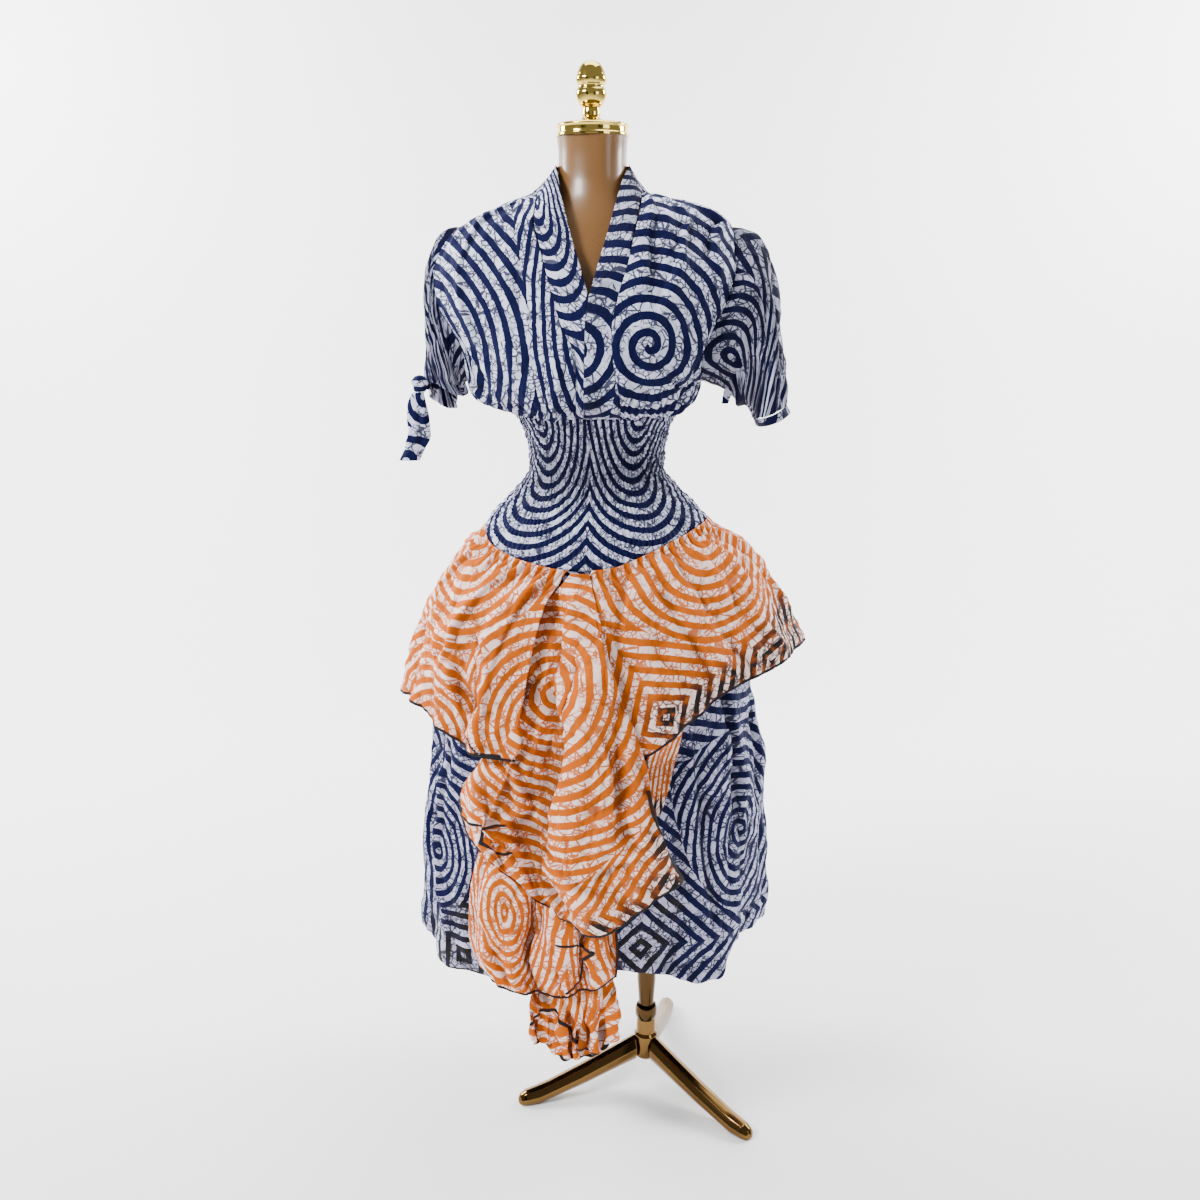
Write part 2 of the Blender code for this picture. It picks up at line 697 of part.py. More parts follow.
def make_bodice():
    heights = bodice_heights()
    gap = SEAM_GAP / 2.0

    def right(z):
        start = -90.0 + gap_turn(z) + armhole_turn(z, ARMHOLE_RIGHT)
        return start, seam_turn(BAND_SEAM_RIGHT, z, -gap)

    def left(z):
        end = 90.0 - gap_turn(z) - armhole_turn(z, ARMHOLE_LEFT)
        return seam_turn(BAND_SEAM_LEFT, z, gap), end

    def back(z):
        start = 90.0 + gap_turn(z) + armhole_turn(z, ARMHOLE_LEFT)
        return start, 270.0 - gap_turn(z) - armhole_turn(z, ARMHOLE_RIGHT)

    wall("bodice_front_right", panel(right, heights, 12, bodice_point), "navy_print", level=(0,), margin=1)
    wall("bodice_front_left", panel(left, heights, 12, bodice_point), "navy_print", level=(0,), margin=1)
    wall("bodice_back", panel(back, heights, 19, bodice_point), "navy_print", level=(0,), margin=1)


def neck_stand(turn):
    """The standing edge of the neck band behind the neck."""
    angle = math.radians(turn)
    rise = 0.010 * ease((abs(turn) - 90.0) / 90.0)
    x = NECK_CENTRE_X + 0.0570 * math.sin(angle)
    return np.array([x, -0.0590 * math.cos(angle), NECK_EDGE + rise])


def make_band(name, side):
    """One half of the neck band, from the waist up the V and round to the centre back."""
    gap = SEAM_GAP
    seam = BAND_SEAM_RIGHT if side < 0 else BAND_SEAM_LEFT
    column = "right" if side < 0 else "left"
    parts = (0.0, 0.5, 1.0)
    grid = []
    for z in bodice_heights():
        room = 2.0 * SEAM_GAP + BAND_ROOM * ease((z - 1.43) / 0.06)
        seam_at = seam_turn(seam, z, -side * room)
        outer = bodice_point(seam_at, z)
        if z <= V_POINT:
            centre = turn_of(reaches(BODICE, z), read(CENTRE_FRONT, "z", "x", z) + gap * side)
            grid.append([bodice_point(seam_at + (centre - seam_at) * part, z) for part in parts])
            continue
        up = V_POINT + (z - V_POINT) * (NECK_EDGE - V_POINT) / (NECK_SEAM - V_POINT)
        inner = np.array([read(NECKLINE, "z", column, up), read(NECKLINE, "z", "y", up), up])
        bulge = np.array([0.0, -BAND_BULGE, 0.0])
        grid.append([outer + (inner - outer) * part + bulge * math.sin(math.pi * part) for part in parts])
    start = abs(seam_turn(seam, NECK_SEAM, -side * (SEAM_GAP + BAND_ROOM)))
    for step in range(1, 8):
        turn = start + (179.85 - start) * step / 7.0
        outer = bodice_point(side * turn, NECK_SEAM)
        outer[2] += SEAM_GAP + CLOTH / 2.0
        inner = neck_stand(side * (104.0 + (179.85 - 104.0) * step / 7.0))
        grid.append([outer + (inner - outer) * part for part in parts])
    wall(name, grid, "navy_print", level=(0,))


def armhole_loop(side, out):
    """The seam round the armhole: up the front, over the shoulder and down the back."""
    widest = ARMHOLE_RIGHT if side < 0 else ARMHOLE_LEFT
    heights = [z for z in bodice_heights() if UNDERARM - 1e-6 <= z <= SHOULDER_POINT + 1e-6]
    loop = []
    for z in heights:
        turn = side * (90.0 - gap_turn(z) - armhole_turn(z, widest))
        loop.append(bodice_point(turn, z))
    for z in reversed(heights[1:-1]):
        turn = side * (90.0 + gap_turn(z) + armhole_turn(z, widest))
        loop.append(bodice_point(turn, z))
    middle = np.mean(loop, axis=0)
    moved = []
    for point in loop:
        inward = (middle - point) * np.array([0.0, 1.0, 1.0])
        inward = inward / np.linalg.norm(inward)
        moved.append(point + inward * (CLOTH / 2.0 + out) + np.array([side * out, 0.0, 0.0]))
    return np.array(moved), middle


def cuff_point(cuff, side, part, scale=1.0):
    """A point of a sleeve's hem ring; part 0 is under the arm, 0.25 in front, 0.5 outside."""
    angle = 2.0 * math.pi * part
    across = -math.cos(angle) * cuff.across * scale
    deep = -math.sin(angle) * cuff.deep * scale
    x = cuff.centre[0] + side * across
    z = cuff.centre[2] + across * cuff.drop - deep * cuff.tilt
    return np.array([x, cuff.centre[1] + deep, z])


def sleeve_grid(side, cuff, bulge, flare, columns_out):
    """Rings from the armhole to the hem; flare says how soon the sleeve moves outwards."""
    loop, middle = armhole_loop(side, 3.5 * SEAM_GAP)
    count = len(loop)
    rings = []
    for i in range(columns_out + 1):
        part = i / columns_out
        bend = ease(part) * 0.5 + part * 0.5
        ring = []
        for j in range(count):
            hem = cuff_point(cuff, side, j / count)
            quick = 1.0 - (1.0 - part) ** flare
            point = loop[j] + (hem - loop[j]) * np.array([quick, part, part * bend])
            centre = middle + (np.array(cuff.centre) - middle) * bend
            away = point - centre
            length = max(np.linalg.norm(away), 1e-6)
            wave = 1.0 + 0.3 * math.cos(2.0 * math.pi * 5.0 * j / count + 2.0 * part)
            point = point + away / length * bulge * math.sin(math.pi * part) ** 2 * wave
            ring.append(point)
        rings.append(ring)
    return rings


def make_sleeves():
    wall("sleeve_right", sleeve_grid(-1, CUFF_RIGHT, 0.006, 2.0, 6), "navy_print", wrap=True)
    left = sleeve_grid(1, CUFF_LEFT, 0.010, 1.6, 6)
    wall("sleeve_left", left, "navy_print", wrap=True)
    make_tie_left(left[2][1] - np.array([0.0, 0.0, TIE_DROP]))


def strip(name, stations, finish, columns=4, curl=0.0, thickness=CLOTH):
    """A flat strip through stations of centre, half width and turn about the upright axis."""
    grid = []
    for x, y, z, half, turn in stations:
        angle = math.radians(turn)
        row = []
        for j in range(columns):
            across = -1.0 + 2.0 * j / (columns - 1)
            bow = curl * (1.0 - across * across)
            row.append((x + across * half * math.cos(angle) + bow * math.sin(angle),
                        y + across * half * math.sin(angle) - bow * math.cos(angle), z))
        grid.append(row)
    wall(name, grid[::-1], finish, thickness=thickness)


def make_cuff_and_ties():
    """The hem band of the left sleeve, the knot on the right one and the free ends."""
    rings = []
    for part in (0.0, 0.5, 1.0):
        ring = []
        for j in range(16):
            point = cuff_point(CUFF_LEFT, 1, j / 16, 1.0 + 0.04 * part)
            point = point + np.array(CUFF_SLOPE) * (CLOTH * 0.55 + SEAM_GAP + CUFF_WIDTH * part)
            ring.append(point)
        rings.append(ring)
    wall("cuff_left", rings, "navy_print", wrap=True)
    hem = cuff_point(CUFF_RIGHT, -1, KNOT_PART)
    centre = hem + np.array([-0.8, -0.6, 0.0]) * (KNOT_RADIUS + CLOTH / 2.0 + SEAM_GAP)
    knot = [(0.0, 0.0135), (0.0080, 0.0115), (0.0118, 0.0050), (KNOT_RADIUS, 0.0)]
    knot += [(0.0112, -0.0060), (0.0070, -0.0115), (0.0, -0.0130)]
    knot = [(radius, centre[2] + z) for radius, z in knot]
    turned("tie_knot_right", knot, centre[:2], "navy_print", segments=10)
    low = centre[2] - 0.0130 + 2.0 * SEAM_GAP
    tail = [
        (centre[0] - 0.002, centre[1], low, 0.0090, 0.0),
        (centre[0] - 0.004, centre[1] - 0.003, low - 0.018, 0.0140, 12.0),
        (centre[0] - 0.002, centre[1] - 0.003, low - 0.042, 0.0165, -8.0),
        (centre[0] - 0.004, centre[1] - 0.001, low - 0.064, 0.0155, 10.0),
        (centre[0] - 0.012, centre[1], low - 0.086, 0.0150, -6.0),
        (centre[0] - 0.020, centre[1], low - 0.104, 0.0150, 8.0),
    ]
    strip("tie_end_right", tail, "navy_print", curl=0.006)


def make_tie_left(knot):
    """The short free end that hangs under the left sleeve."""
    tail = [
        (knot[0], knot[1], knot[2], 0.0045, 10.0),
        (knot[0] - 0.001, knot[1] - 0.001, knot[2] - 0.010, 0.0060, -10.0),
        (knot[0] - 0.004, knot[1] - 0.001, knot[2] - 0.024, 0.0050, 10.0),
    ]
    strip("tie_end_left", tail, "navy_print", columns=3, curl=0.002)


def skirt_point(turn, z, table, out, folds, small):
    """A point of a gathered skirt that leaves the waist seam and opens out below it."""
    low = hem_height(WAIST_SEAM, turn)
    drop = ease((low - z) / 0.045)
    near = reaches(WAIST, z) + out
    reach = near + (reaches(table, z) - near) * drop
    wave = fold_height(folds, turn, z)
    wave += small * (1.0 + gathers(turn, 21, 0.4)) * ease((low - z) / 0.03)
    return on_section(reach, turn, z, wave)


def skirt_panel(name, span, table, hem, out, folds, small, rise, counts, finish):
    """One panel of a skirt between two turns, from its hem up to the waist seam."""
    rows, columns = counts
    grid = []
    for i in range(rows):
        part = i / (rows - 1)
        row = []
        for j in range(-1, columns + 1):
            across = j / (columns - 1)
            start = read(span, "down", "left", 1.0 - part)
            end = read(span, "down", "right", 1.0 - part)
            turn = start + (end - start) * across
            top = hem_height(WAIST_SEAM, turn) + rise
            low = hem_height(hem, turn)
            z = top - (top - low) * (1.0 - part) ** 1.6
            row.append(skirt_point(turn, z, table, out, folds, small))
        grid.append(row)
    wall(name, grid, finish, level=(-1,), margin=1)


Span = namedtuple("Span", "down left right")


def even(left, right):
    return [Span(0.0, left, right), Span(1.0, left, right)]


def make_underskirt():
    shared = (UNDERSKIRT, UNDERSKIRT_HEM, 0.0, UNDERSKIRT_FOLDS, UNDER_GATHER, -SEAM_GAP)
    skirt_panel("underskirt_front_right", even(-89.95, -0.05), *shared, (8, 15), "navy_print")
    skirt_panel("underskirt_front_left", even(0.05, 89.95), *shared, (8, 15), "navy_print")
    skirt_panel("underskirt_back", even(90.05, 269.95), *shared, (8, 24), "navy_print")


def make_overskirt():
    out = CLOTH + LAYER_GAP
    shared = (OVERSKIRT, OVERSKIRT_HEM, out, OVERSKIRT_FOLDS, OVER_GATHER, 0.0015)
    right = [Span(0.0, -89.95, -14.0), Span(0.3, -89.95, -18.5), Span(1.0, -89.95, -24.0)]
    left = [Span(0.0, -3.5, 89.95), Span(0.3, -5.0, 89.95), Span(1.0, 4.0, 89.95)]
    skirt_panel("overskirt_front_right", right, *shared, (8, 18), "orange_print")
    skirt_panel("overskirt_front_left", left, *shared, (8, 19), "orange_print")
    skirt_panel("overskirt_back", even(90.05, 269.95), *shared, (8, 28), "orange_print")


def crest_height(crests, across, down):
    total = 0.0
    for crest in crests:
        centre = crest.across + crest.lean * down
        shape = math.exp(-(((across - centre) / crest.width) ** 2))
        window = ease((down - crest.top) / 0.2) * (1.0 - ease((down - crest.bottom) / 0.2))
        total += crest.depth * shape * window
    return total


def front_grid(sides, belly, depth_at, counts):
    """A piece in front of the skirts, from its bottom row up, between two side edges."""
    rows, columns = counts
    grid = []
    for i in range(rows):
        down = 1.0 - i / (rows - 1)
        left_x = read(sides, "down", "left_x", down)
        left_z = read(sides, "down", "left_z", down)
        right_x = read(sides, "down", "right_x", down)
        right_z = read(sides, "down", "right_z", down)
        row = []
        for j in range(columns):
            across = j / (columns - 1)
            x = left_x + (right_x - left_x) * across
            z = left_z + (right_z - left_z) * across
            z -= belly * max(math.sin(math.pi * across), 0.0) ** 1.6 * down**2
            row.append((x, -depth_at(across, down, x, z), z))
        grid.append(row)
    return grid


def underskirt_depth(x, z):
    """How far forward the underskirt's middle surface lies, with its folds."""
    turn = turn_of(reaches(UNDERSKIRT, z), x)
    return -skirt_point(turn, z, UNDERSKIRT, 0.0, UNDERSKIRT_FOLDS, UNDER_GATHER)[1]


def overskirt_depth(x, z):
    turn = turn_of(reaches(OVERSKIRT, z), x)
    return -skirt_point(turn, z, OVERSKIRT, CLOTH + LAYER_GAP, OVERSKIRT_FOLDS, OVER_GATHER)[1]


def drape_depth(across, down, x, z):
    """Over the seam at the top, then off the underskirt, and over the left front's edge."""
    seat = -waist_point(turn_of(reaches(WAIST, z), x), z, CLOTH + LAYER_GAP)[1]
    crest = across - DRAPE_LEAN * (1.0 - ease((down - 0.2) / 0.3))
    full = underskirt_depth(x, z) + read(DRAPE_DEPTH, "across", "y", crest)
    full += DRAPE_BELLY_DEPTH * ease((down - 0.5) / 0.5)
    depth = seat + (full - seat) * ease(down / 0.28)
    depth = max(depth, underskirt_depth(x, z) + CLOTH + 0.0014)
    over = max(depth, overskirt_depth(x, z) + CLOTH + 0.0015)
    depth = depth + (over - depth) * ease((x + 0.075) / 0.04)
    return depth + crest_height(DRAPE_FOLDS, across, down)


def lower_depth(across, down, x, z):
    seat = underskirt_depth(x, z) + CLOTH + LAYER_GAP
    full = read(LOWER_DEPTH, "across", "y", across) * ease(down / 0.7)
    return seat + full + crest_height(LOWER_FOLDS, across, down) * ease(down / 0.6)


def grid_profile(grid, x):
    """The heights and depths of a finished front grid along one upright line."""
    heights, depths = [], []
    for row in grid:
        across = [point[0] for point in row]
        heights.append(float(np.interp(x, across, [point[2] for point in row])))
        depths.append(float(np.interp(x, across, [-point[1] for point in row])))
    return heights, depths


def tail_depth(lower):
    """The tail hangs from just behind the lower panel's bottom edge, in even waves."""

    def depth(across, down, x, z):
        heights, depths = grid_profile(lower, x)
        seat = float(np.interp(z, heights, depths)) - CLOTH - TAIL_BEHIND
        below = (heights[0] - z - 0.006) / 0.045
        wave = 1.0 + math.sin(2.0 * math.pi * TAIL_WAVES * across + 1.2 * down)
        return seat + TAIL_OUT * ease(below) + TAIL_WAVE_DEPTH * wave * ease(below)

    return depth


def inset_depth(across, down, x, z):
    near = overskirt_depth(x, z) - CLOTH - 0.0028
    far = underskirt_depth(x, z) + 0.006
    return near + (far - near) * ease(down / 0.6)


def make_front_pieces():
    drape = front_grid(DRAPE_SIDES, DRAPE_BELLY, drape_depth, (14, 15))
    wall("front_drape", drape, "orange_print")
    lower = front_grid(LOWER_SIDES, LOWER_BELLY, lower_depth, (8, 16))
    wall("lower_panel", lower, "orange_print")
    tail = front_grid(TAIL_SIDES, TAIL_BELLY, tail_depth(lower), (6, 25))
    wall("tail_frill", tail, "orange_print")
    inset = front_grid(INSET_SIDES, 0.0, inset_depth, (6, 5))
    wall("inset_left", inset, "orange_print")


FINIAL = [
    (0.0, 1.7195),
    (0.0085, 1.7182),
    (0.0158, 1.7128),
    (0.0205, 1.7040),
    (0.0212, 1.6998),
    (0.0237, 1.6945),
    (0.0222, 1.6890),
    (0.0201, 1.6840),
    (0.0222, 1.6795),
    (0.0237, 1.6745),
    (0.0222, 1.6680),
    (0.0180, 1.6600),
    (0.0139, 1.6555),
    (0.0125, 1.6540),
    (0.0136, 1.6500),
    (0.0136, 1.6455),
    (0.0126, 1.6425),
    (0.0150, 1.6400),
    (0.0182, 1.6368),
    (0.0182, 1.6346),
    (0.0, 1.6346),
]

NECK_CAP = [
    (0.0, 1.6343),
    (0.0490, 1.6343),
    (0.0530, 1.6325),
    (0.0545, 1.6300),
    (0.0528, 1.6275),
    (0.0528, 1.6205),
    (0.0545, 1.6185),
    (0.0545, 1.6150),
    (0.0, 1.6150),
]

POLE_RING = [
    (0.0, 0.1560),
    (0.0150, 0.1560),
    (0.0190, 0.1525),
    (0.0196, 0.1450),
    (0.0190, 0.1345),
    (0.0160, 0.1300),
    (0.0, 0.1300),
]


def make_stand():
    """Finial, neck cap, pole, collar, hub and three splayed legs."""
    turned("finial", FINIAL, (NECK_CENTRE_X - 0.0020, 0.0), "polished_gold", 16)
    turned("neck_cap", NECK_CAP, (NECK_CENTRE_X, 0.0), "polished_gold", 24)
    top = FORM_BOTTOM - SEAM_GAP
    pole = [(0.0, top), (POLE_RADIUS, top), (POLE_RADIUS, 0.2100), (POLE_FOOT_RADIUS, 0.1563)]
    turned("stand_pole", pole + [(0.0, 0.1563)], (POLE_X, 0.0), "polished_gold", 20)
    turned("pole_ring", POLE_RING, (POLE_X, 0.0), "polished_gold", 20)
    hub = [(0.0, 0.1297), (0.0165, 0.1297), (0.0170, 0.1020), (HUB_RADIUS, 0.0970)]
    hub += [(HUB_RADIUS, 0.0560), (0.0150, 0.0500), (0.0, 0.0500)]
    turned("stand_hub", hub, (POLE_X, 0.0), "polished_gold", 24)
    for name, turn in LEG_TURNS.items():
        make_leg(name, turn)


Slice = namedtuple("Slice", "out half bottom top")
LEG_SLICES = [
    Slice(HUB_RADIUS + SEAM_GAP, 0.0160, 0.0560, 0.0960),
    Slice(0.0600, 0.0165, 0.0440, 0.0800),
    Slice(0.1250, 0.0170, 0.0230, 0.0540),
    Slice(0.1850, 0.0165, 0.0060, 0.0330),
    Slice(0.2020, 0.0160, 0.0000, 0.0285),
    Slice(0.2240, 0.0145, 0.0000, 0.0240),
    Slice(0.2340, 0.0100, 0.0000, 0.0180),
    Slice(LEG_REACH, 0.0040, 0.0030, 0.0110),
]


def make_leg(name, turn):
    """A leg: a bar with a ridged top that slopes down to a rounded foot with a flat sole."""
    angle = math.radians(turn)
    ahead = np.array([math.cos(angle), math.sin(angle), 0.0])
    aside = np.array([-math.sin(angle), math.cos(angle), 0.0])
    rings = []
    for cut in LEG_SLICES:
        rise = cut.top - cut.bottom
        outline = [(-0.8, 0.0), (0.8, 0.0), (1.0, 0.25), (1.0, 0.55), (0.55, 0.90), (0.0, 1.0)]
        outline += [(-0.55, 0.90), (-1.0, 0.55), (-1.0, 0.25)]
        base = np.array([POLE_X, 0.0, cut.bottom]) + ahead * cut.out
        rings.append([base + aside * cut.half * a + np.array([0.0, 0.0, rise * b]) for a, b in outline])
    lofted(name, rings, "polished_gold")


def centre_everything():
    """Puts the frame's origin under the middle of the whole, on the floor."""
    low, high = np.full(3, 1e9), np.full(3, -1e9)
    for item in bpy.context.scene.objects:
        for vertex in item.data.vertices:
            low = np.minimum(low, vertex.co)
            high = np.maximum(high, vertex.co)
    shift = (-(low[0] + high[0]) / 2.0, -(low[1] + high[1]) / 2.0, -low[2])
    for item in bpy.context.scene.objects:
        item.location = shift


clear_scene()
make_form()
make_waist()
make_bodice()
make_band("neck_band_right", -1)
make_band("neck_band_left", 1)
make_sleeves()
make_cuff_and_ties()
make_underskirt()
make_overskirt()
make_front_pieces()
make_stand()
centre_everything()
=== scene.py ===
# %% [markdown]
# # A handkerchief dress on its dress form
#
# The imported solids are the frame. Each sheet of cloth is laid again over the form of its solid,
# much finer, with its folds, creases, print and edges, and takes that solid's place.
# All lengths are metres. Right and left are the wearer's, so right is towards -X.

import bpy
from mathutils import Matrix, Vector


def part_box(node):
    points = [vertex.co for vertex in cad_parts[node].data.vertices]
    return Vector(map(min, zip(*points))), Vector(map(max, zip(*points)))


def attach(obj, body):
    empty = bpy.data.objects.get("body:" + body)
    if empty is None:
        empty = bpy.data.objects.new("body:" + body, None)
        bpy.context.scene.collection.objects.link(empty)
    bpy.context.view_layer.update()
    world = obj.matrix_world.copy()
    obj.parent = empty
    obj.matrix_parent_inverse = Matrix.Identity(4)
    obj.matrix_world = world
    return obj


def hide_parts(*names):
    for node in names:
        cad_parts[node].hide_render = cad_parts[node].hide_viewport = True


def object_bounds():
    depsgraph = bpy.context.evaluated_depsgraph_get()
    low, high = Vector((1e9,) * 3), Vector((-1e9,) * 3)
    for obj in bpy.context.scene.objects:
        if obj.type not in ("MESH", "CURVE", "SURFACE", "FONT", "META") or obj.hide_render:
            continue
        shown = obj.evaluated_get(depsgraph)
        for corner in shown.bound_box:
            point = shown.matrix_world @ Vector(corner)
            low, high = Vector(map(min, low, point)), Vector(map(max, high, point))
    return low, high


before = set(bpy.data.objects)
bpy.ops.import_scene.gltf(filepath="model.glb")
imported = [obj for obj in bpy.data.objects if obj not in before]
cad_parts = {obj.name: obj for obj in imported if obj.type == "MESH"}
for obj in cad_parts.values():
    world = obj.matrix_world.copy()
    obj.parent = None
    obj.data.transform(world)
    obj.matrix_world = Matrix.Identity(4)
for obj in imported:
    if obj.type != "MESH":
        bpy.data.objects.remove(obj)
size_after_load = [list(corner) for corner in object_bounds()]

import math
from collections import namedtuple
from functools import partial

import bpy
import numpy as np
from mathutils import Vector, noise

print("frame size", np.round(np.ptp(size_after_load, axis=0), 4))

# %% [markdown]
# ## Sizes
#
# These are the sizes and outlines that the solids were made from. Each section of the body is
# an ellipse with its own reach to the left, right, front and back. A turn is 0 at the front,
# 90 degrees at the wearer's left side and 180 at the back.

# %% Sizes and outlines
CLOTH = 0.0020
SEAM_GAP = 0.0003
LAYER_GAP = 0.0007
FORM_BOTTOM = 0.790
WAIST_TOP = 1.2135
NECK_CENTRE_X = -0.0110
UNDER_GATHER = 0.001
OVER_GATHER = 0.0022
POLE_X = 0.0830
UNDERARM = 1.258
SHOULDER_POINT = 1.490
V_POINT = 1.3935
NECK_SEAM = 1.5365
NECK_EDGE = 1.5746
BAND_ROOM = 0.0012
ARMHOLE_RIGHT = 19.0
ARMHOLE_LEFT = 33.0
BODICE_GATHER = 0.0045
CUFF_WIDTH = 0.013
CUFF_SLOPE = (0.45, 0.0, -0.89)
TIE_DROP = 0.0055
KNOT_RADIUS = 0.0125
KNOT_PART = 0.36
BAND_BULGE = 0.004


def rows_of(kind, *rows):
    """A table whose rows are all of one kind."""
    return [kind(*row) for row in rows]


# How far an ellipse reaches to each side of the garment's middle line
Section = namedtuple("Section", "z left right front back")
# A point of an edge at one height
Edge = namedtuple("Edge", "z x")
# A hem's height at one turn
Hem = namedtuple("Hem", "turn z")
# A fold: where its crest is, how wide and deep it is, and how it leans down the cloth
Fold = namedtuple("Fold", "turn width depth top bottom lean")
# A fold of a front piece, placed across it from 0 to 1
Crest = namedtuple("Crest", "across width depth top bottom lean")

FORM_TOP = rows_of(
    Section, (1.6147, 0.0635, 0.0414, 0.052, 0.052), (1.59, 0.0615, 0.0395, 0.05, 0.05),
    (1.56, 0.062, 0.04, 0.051, 0.052), (1.535, 0.067, 0.045, 0.056, 0.06), (1.512, 0.084, 0.063, 0.065, 0.07),
    (1.495, 0.115, 0.097, 0.073, 0.079), (1.478, 0.148, 0.133, 0.081, 0.086),
    (1.45, 0.176, 0.16, 0.095, 0.093), (1.4, 0.184, 0.164, 0.11, 0.097), (1.35, 0.18, 0.158, 0.126, 0.096),
    (1.31, 0.17, 0.15, 0.13, 0.094), (1.265, 0.15, 0.134, 0.123, 0.093),
)

WAIST = rows_of(
    Section, (1.2135, 0.131, 0.1185, 0.116, 0.096), (1.185, 0.118, 0.107, 0.102, 0.088),
    (1.155, 0.1105, 0.1015, 0.092, 0.083), (1.125, 0.11, 0.1, 0.089, 0.083),
    (1.096, 0.128, 0.121, 0.103, 0.098), (1.07, 0.153, 0.147, 0.121, 0.118),
    (1.045, 0.174, 0.169, 0.137, 0.135), (1.02, 0.186, 0.182, 0.148, 0.148),
    (0.99, 0.193, 0.19, 0.156, 0.158), (0.96, 0.196, 0.194, 0.16, 0.164),
)

FORM_HIPS = rows_of(
    Section, (0.92, 0.195, 0.193, 0.157, 0.165), (0.86, 0.19, 0.188, 0.15, 0.16),
    (0.815, 0.178, 0.176, 0.138, 0.148), (0.795, 0.16, 0.158, 0.122, 0.132),
    (FORM_BOTTOM, 0.145, 0.143, 0.108, 0.118),
)

BODICE = rows_of(
    Section, (WAIST_TOP, 0.131, 0.1185, 0.116, 0.096), (1.219, 0.15, 0.13, 0.13, 0.108),
    (1.228, 0.178, 0.141, 0.14, 0.116), (1.243, 0.198, 0.15, 0.147, 0.122),
    (1.27, 0.206, 0.158, 0.151, 0.124), (1.305, 0.215, 0.172, 0.152, 0.123),
    (1.345, 0.238, 0.198, 0.148, 0.12), (1.385, 0.258, 0.223, 0.139, 0.116), (1.42, 0.26, 0.23, 0.128, 0.111),
    (1.45, 0.247, 0.218, 0.116, 0.106), (1.48, 0.22, 0.204, 0.105, 0.101), (1.5, 0.188, 0.188, 0.096, 0.096),
    (1.514, 0.16, 0.164, 0.088, 0.091), (1.523, 0.137, 0.133, 0.081, 0.086),
    (1.53, 0.118, 0.098, 0.075, 0.081), (NECK_SEAM, 0.1, 0.071, 0.068, 0.074),
)

UNDERSKIRT = rows_of(
    Section, (1.045, 0.174, 0.169, 0.137, 0.135), (0.99, 0.196, 0.193, 0.159, 0.161),
    (0.95, 0.206, 0.203, 0.167, 0.173), (0.9, 0.22, 0.214, 0.174, 0.188), (0.8, 0.248, 0.24, 0.18, 0.212),
    (0.7, 0.268, 0.258, 0.184, 0.23), (0.626, 0.276, 0.269, 0.186, 0.24), (0.55, 0.288, 0.27, 0.185, 0.245),
    (0.477, 0.299, 0.276, 0.182, 0.248), (0.4, 0.297, 0.28, 0.179, 0.248),
    (0.333, 0.305, 0.276, 0.176, 0.246), (0.22, 0.292, 0.268, 0.17, 0.242),
)

OVERSKIRT = rows_of(
    Section, (1.045, 0.18, 0.182, 0.142, 0.14), (1.015, 0.208, 0.222, 0.164, 0.17),
    (0.974, 0.234, 0.257, 0.184, 0.202), (0.932, 0.26, 0.28, 0.199, 0.226), (0.89, 0.278, 0.298, 0.21, 0.242),
    (0.847, 0.29, 0.322, 0.216, 0.252), (0.8, 0.302, 0.329, 0.22, 0.258), (0.748, 0.315, 0.33, 0.223, 0.262),
    (0.64, 0.317, 0.33, 0.225, 0.264),
)

# The seam between the smocked waist and the skirts, lower in front than at the sides
WAIST_SEAM = rows_of(
    Hem, (-180, 1.02), (-130, 1.028), (-90, 1.034), (-62, 1.014), (-36, 1.0), (-12, 0.992), (4, 0.996),
    (22, 1.014), (42, 1.032), (66, 1.043), (90, 1.045), (130, 1.034),
)

OVERSKIRT_HEM = rows_of(
    Hem, (-180, 0.745), (-150, 0.672), (-120, 0.722), (-90, 0.752), (-66, 0.762), (-50, 0.742), (-38, 0.716),
    (-26, 0.708), (0, 0.72), (11, 0.722), (18, 0.748), (28, 0.785), (38, 0.812), (50, 0.828), (66, 0.842),
    (88, 0.846), (118, 0.8), (148, 0.69),
)

UNDERSKIRT_HEM = rows_of(
    Hem, (-180, 0.3), (-150, 0.262), (-122, 0.292), (-90, 0.318), (-62, 0.3), (-34, 0.3), (0, 0.335),
    (18, 0.324), (38, 0.288), (45, 0.29), (54, 0.345), (88, 0.34), (120, 0.3), (150, 0.258),
)

# Seam of the neck band with each front, and the edge of the open V above the waist
BAND_SEAM_RIGHT = rows_of(
    Edge, (1.2135, -0.036), (1.301, -0.035), (1.35, -0.056), (1.412, -0.0745), (1.454, -0.0859),
    (1.492, -0.095), (NECK_SEAM, -0.093),
)
BAND_SEAM_LEFT = rows_of(
    Edge, (1.2135, 0.03), (1.239, 0.0289), (1.301, 0.0186), (1.345, 0.017), (1.384, 0.0244), (1.437, 0.0402),
    (1.474, 0.0476), (NECK_SEAM, 0.064),
)
CENTRE_FRONT = rows_of(Edge, (1.2135, -0.0245), (1.343, -0.0215), (V_POINT, -0.016))

Neckline = namedtuple("Neckline", "z right left y")
NECKLINE = rows_of(
    Neckline, (V_POINT, -0.0176, -0.0144, -0.1345), (1.43, -0.028, -0.004, -0.119),
    (1.465, -0.039, 0.007, -0.103), (1.495, -0.0475, 0.016, -0.088), (1.524, -0.0545, 0.024, -0.068),
    (1.55, -0.06, 0.032, -0.045), (NECK_EDGE, -0.065, 0.043, -0.015),
)

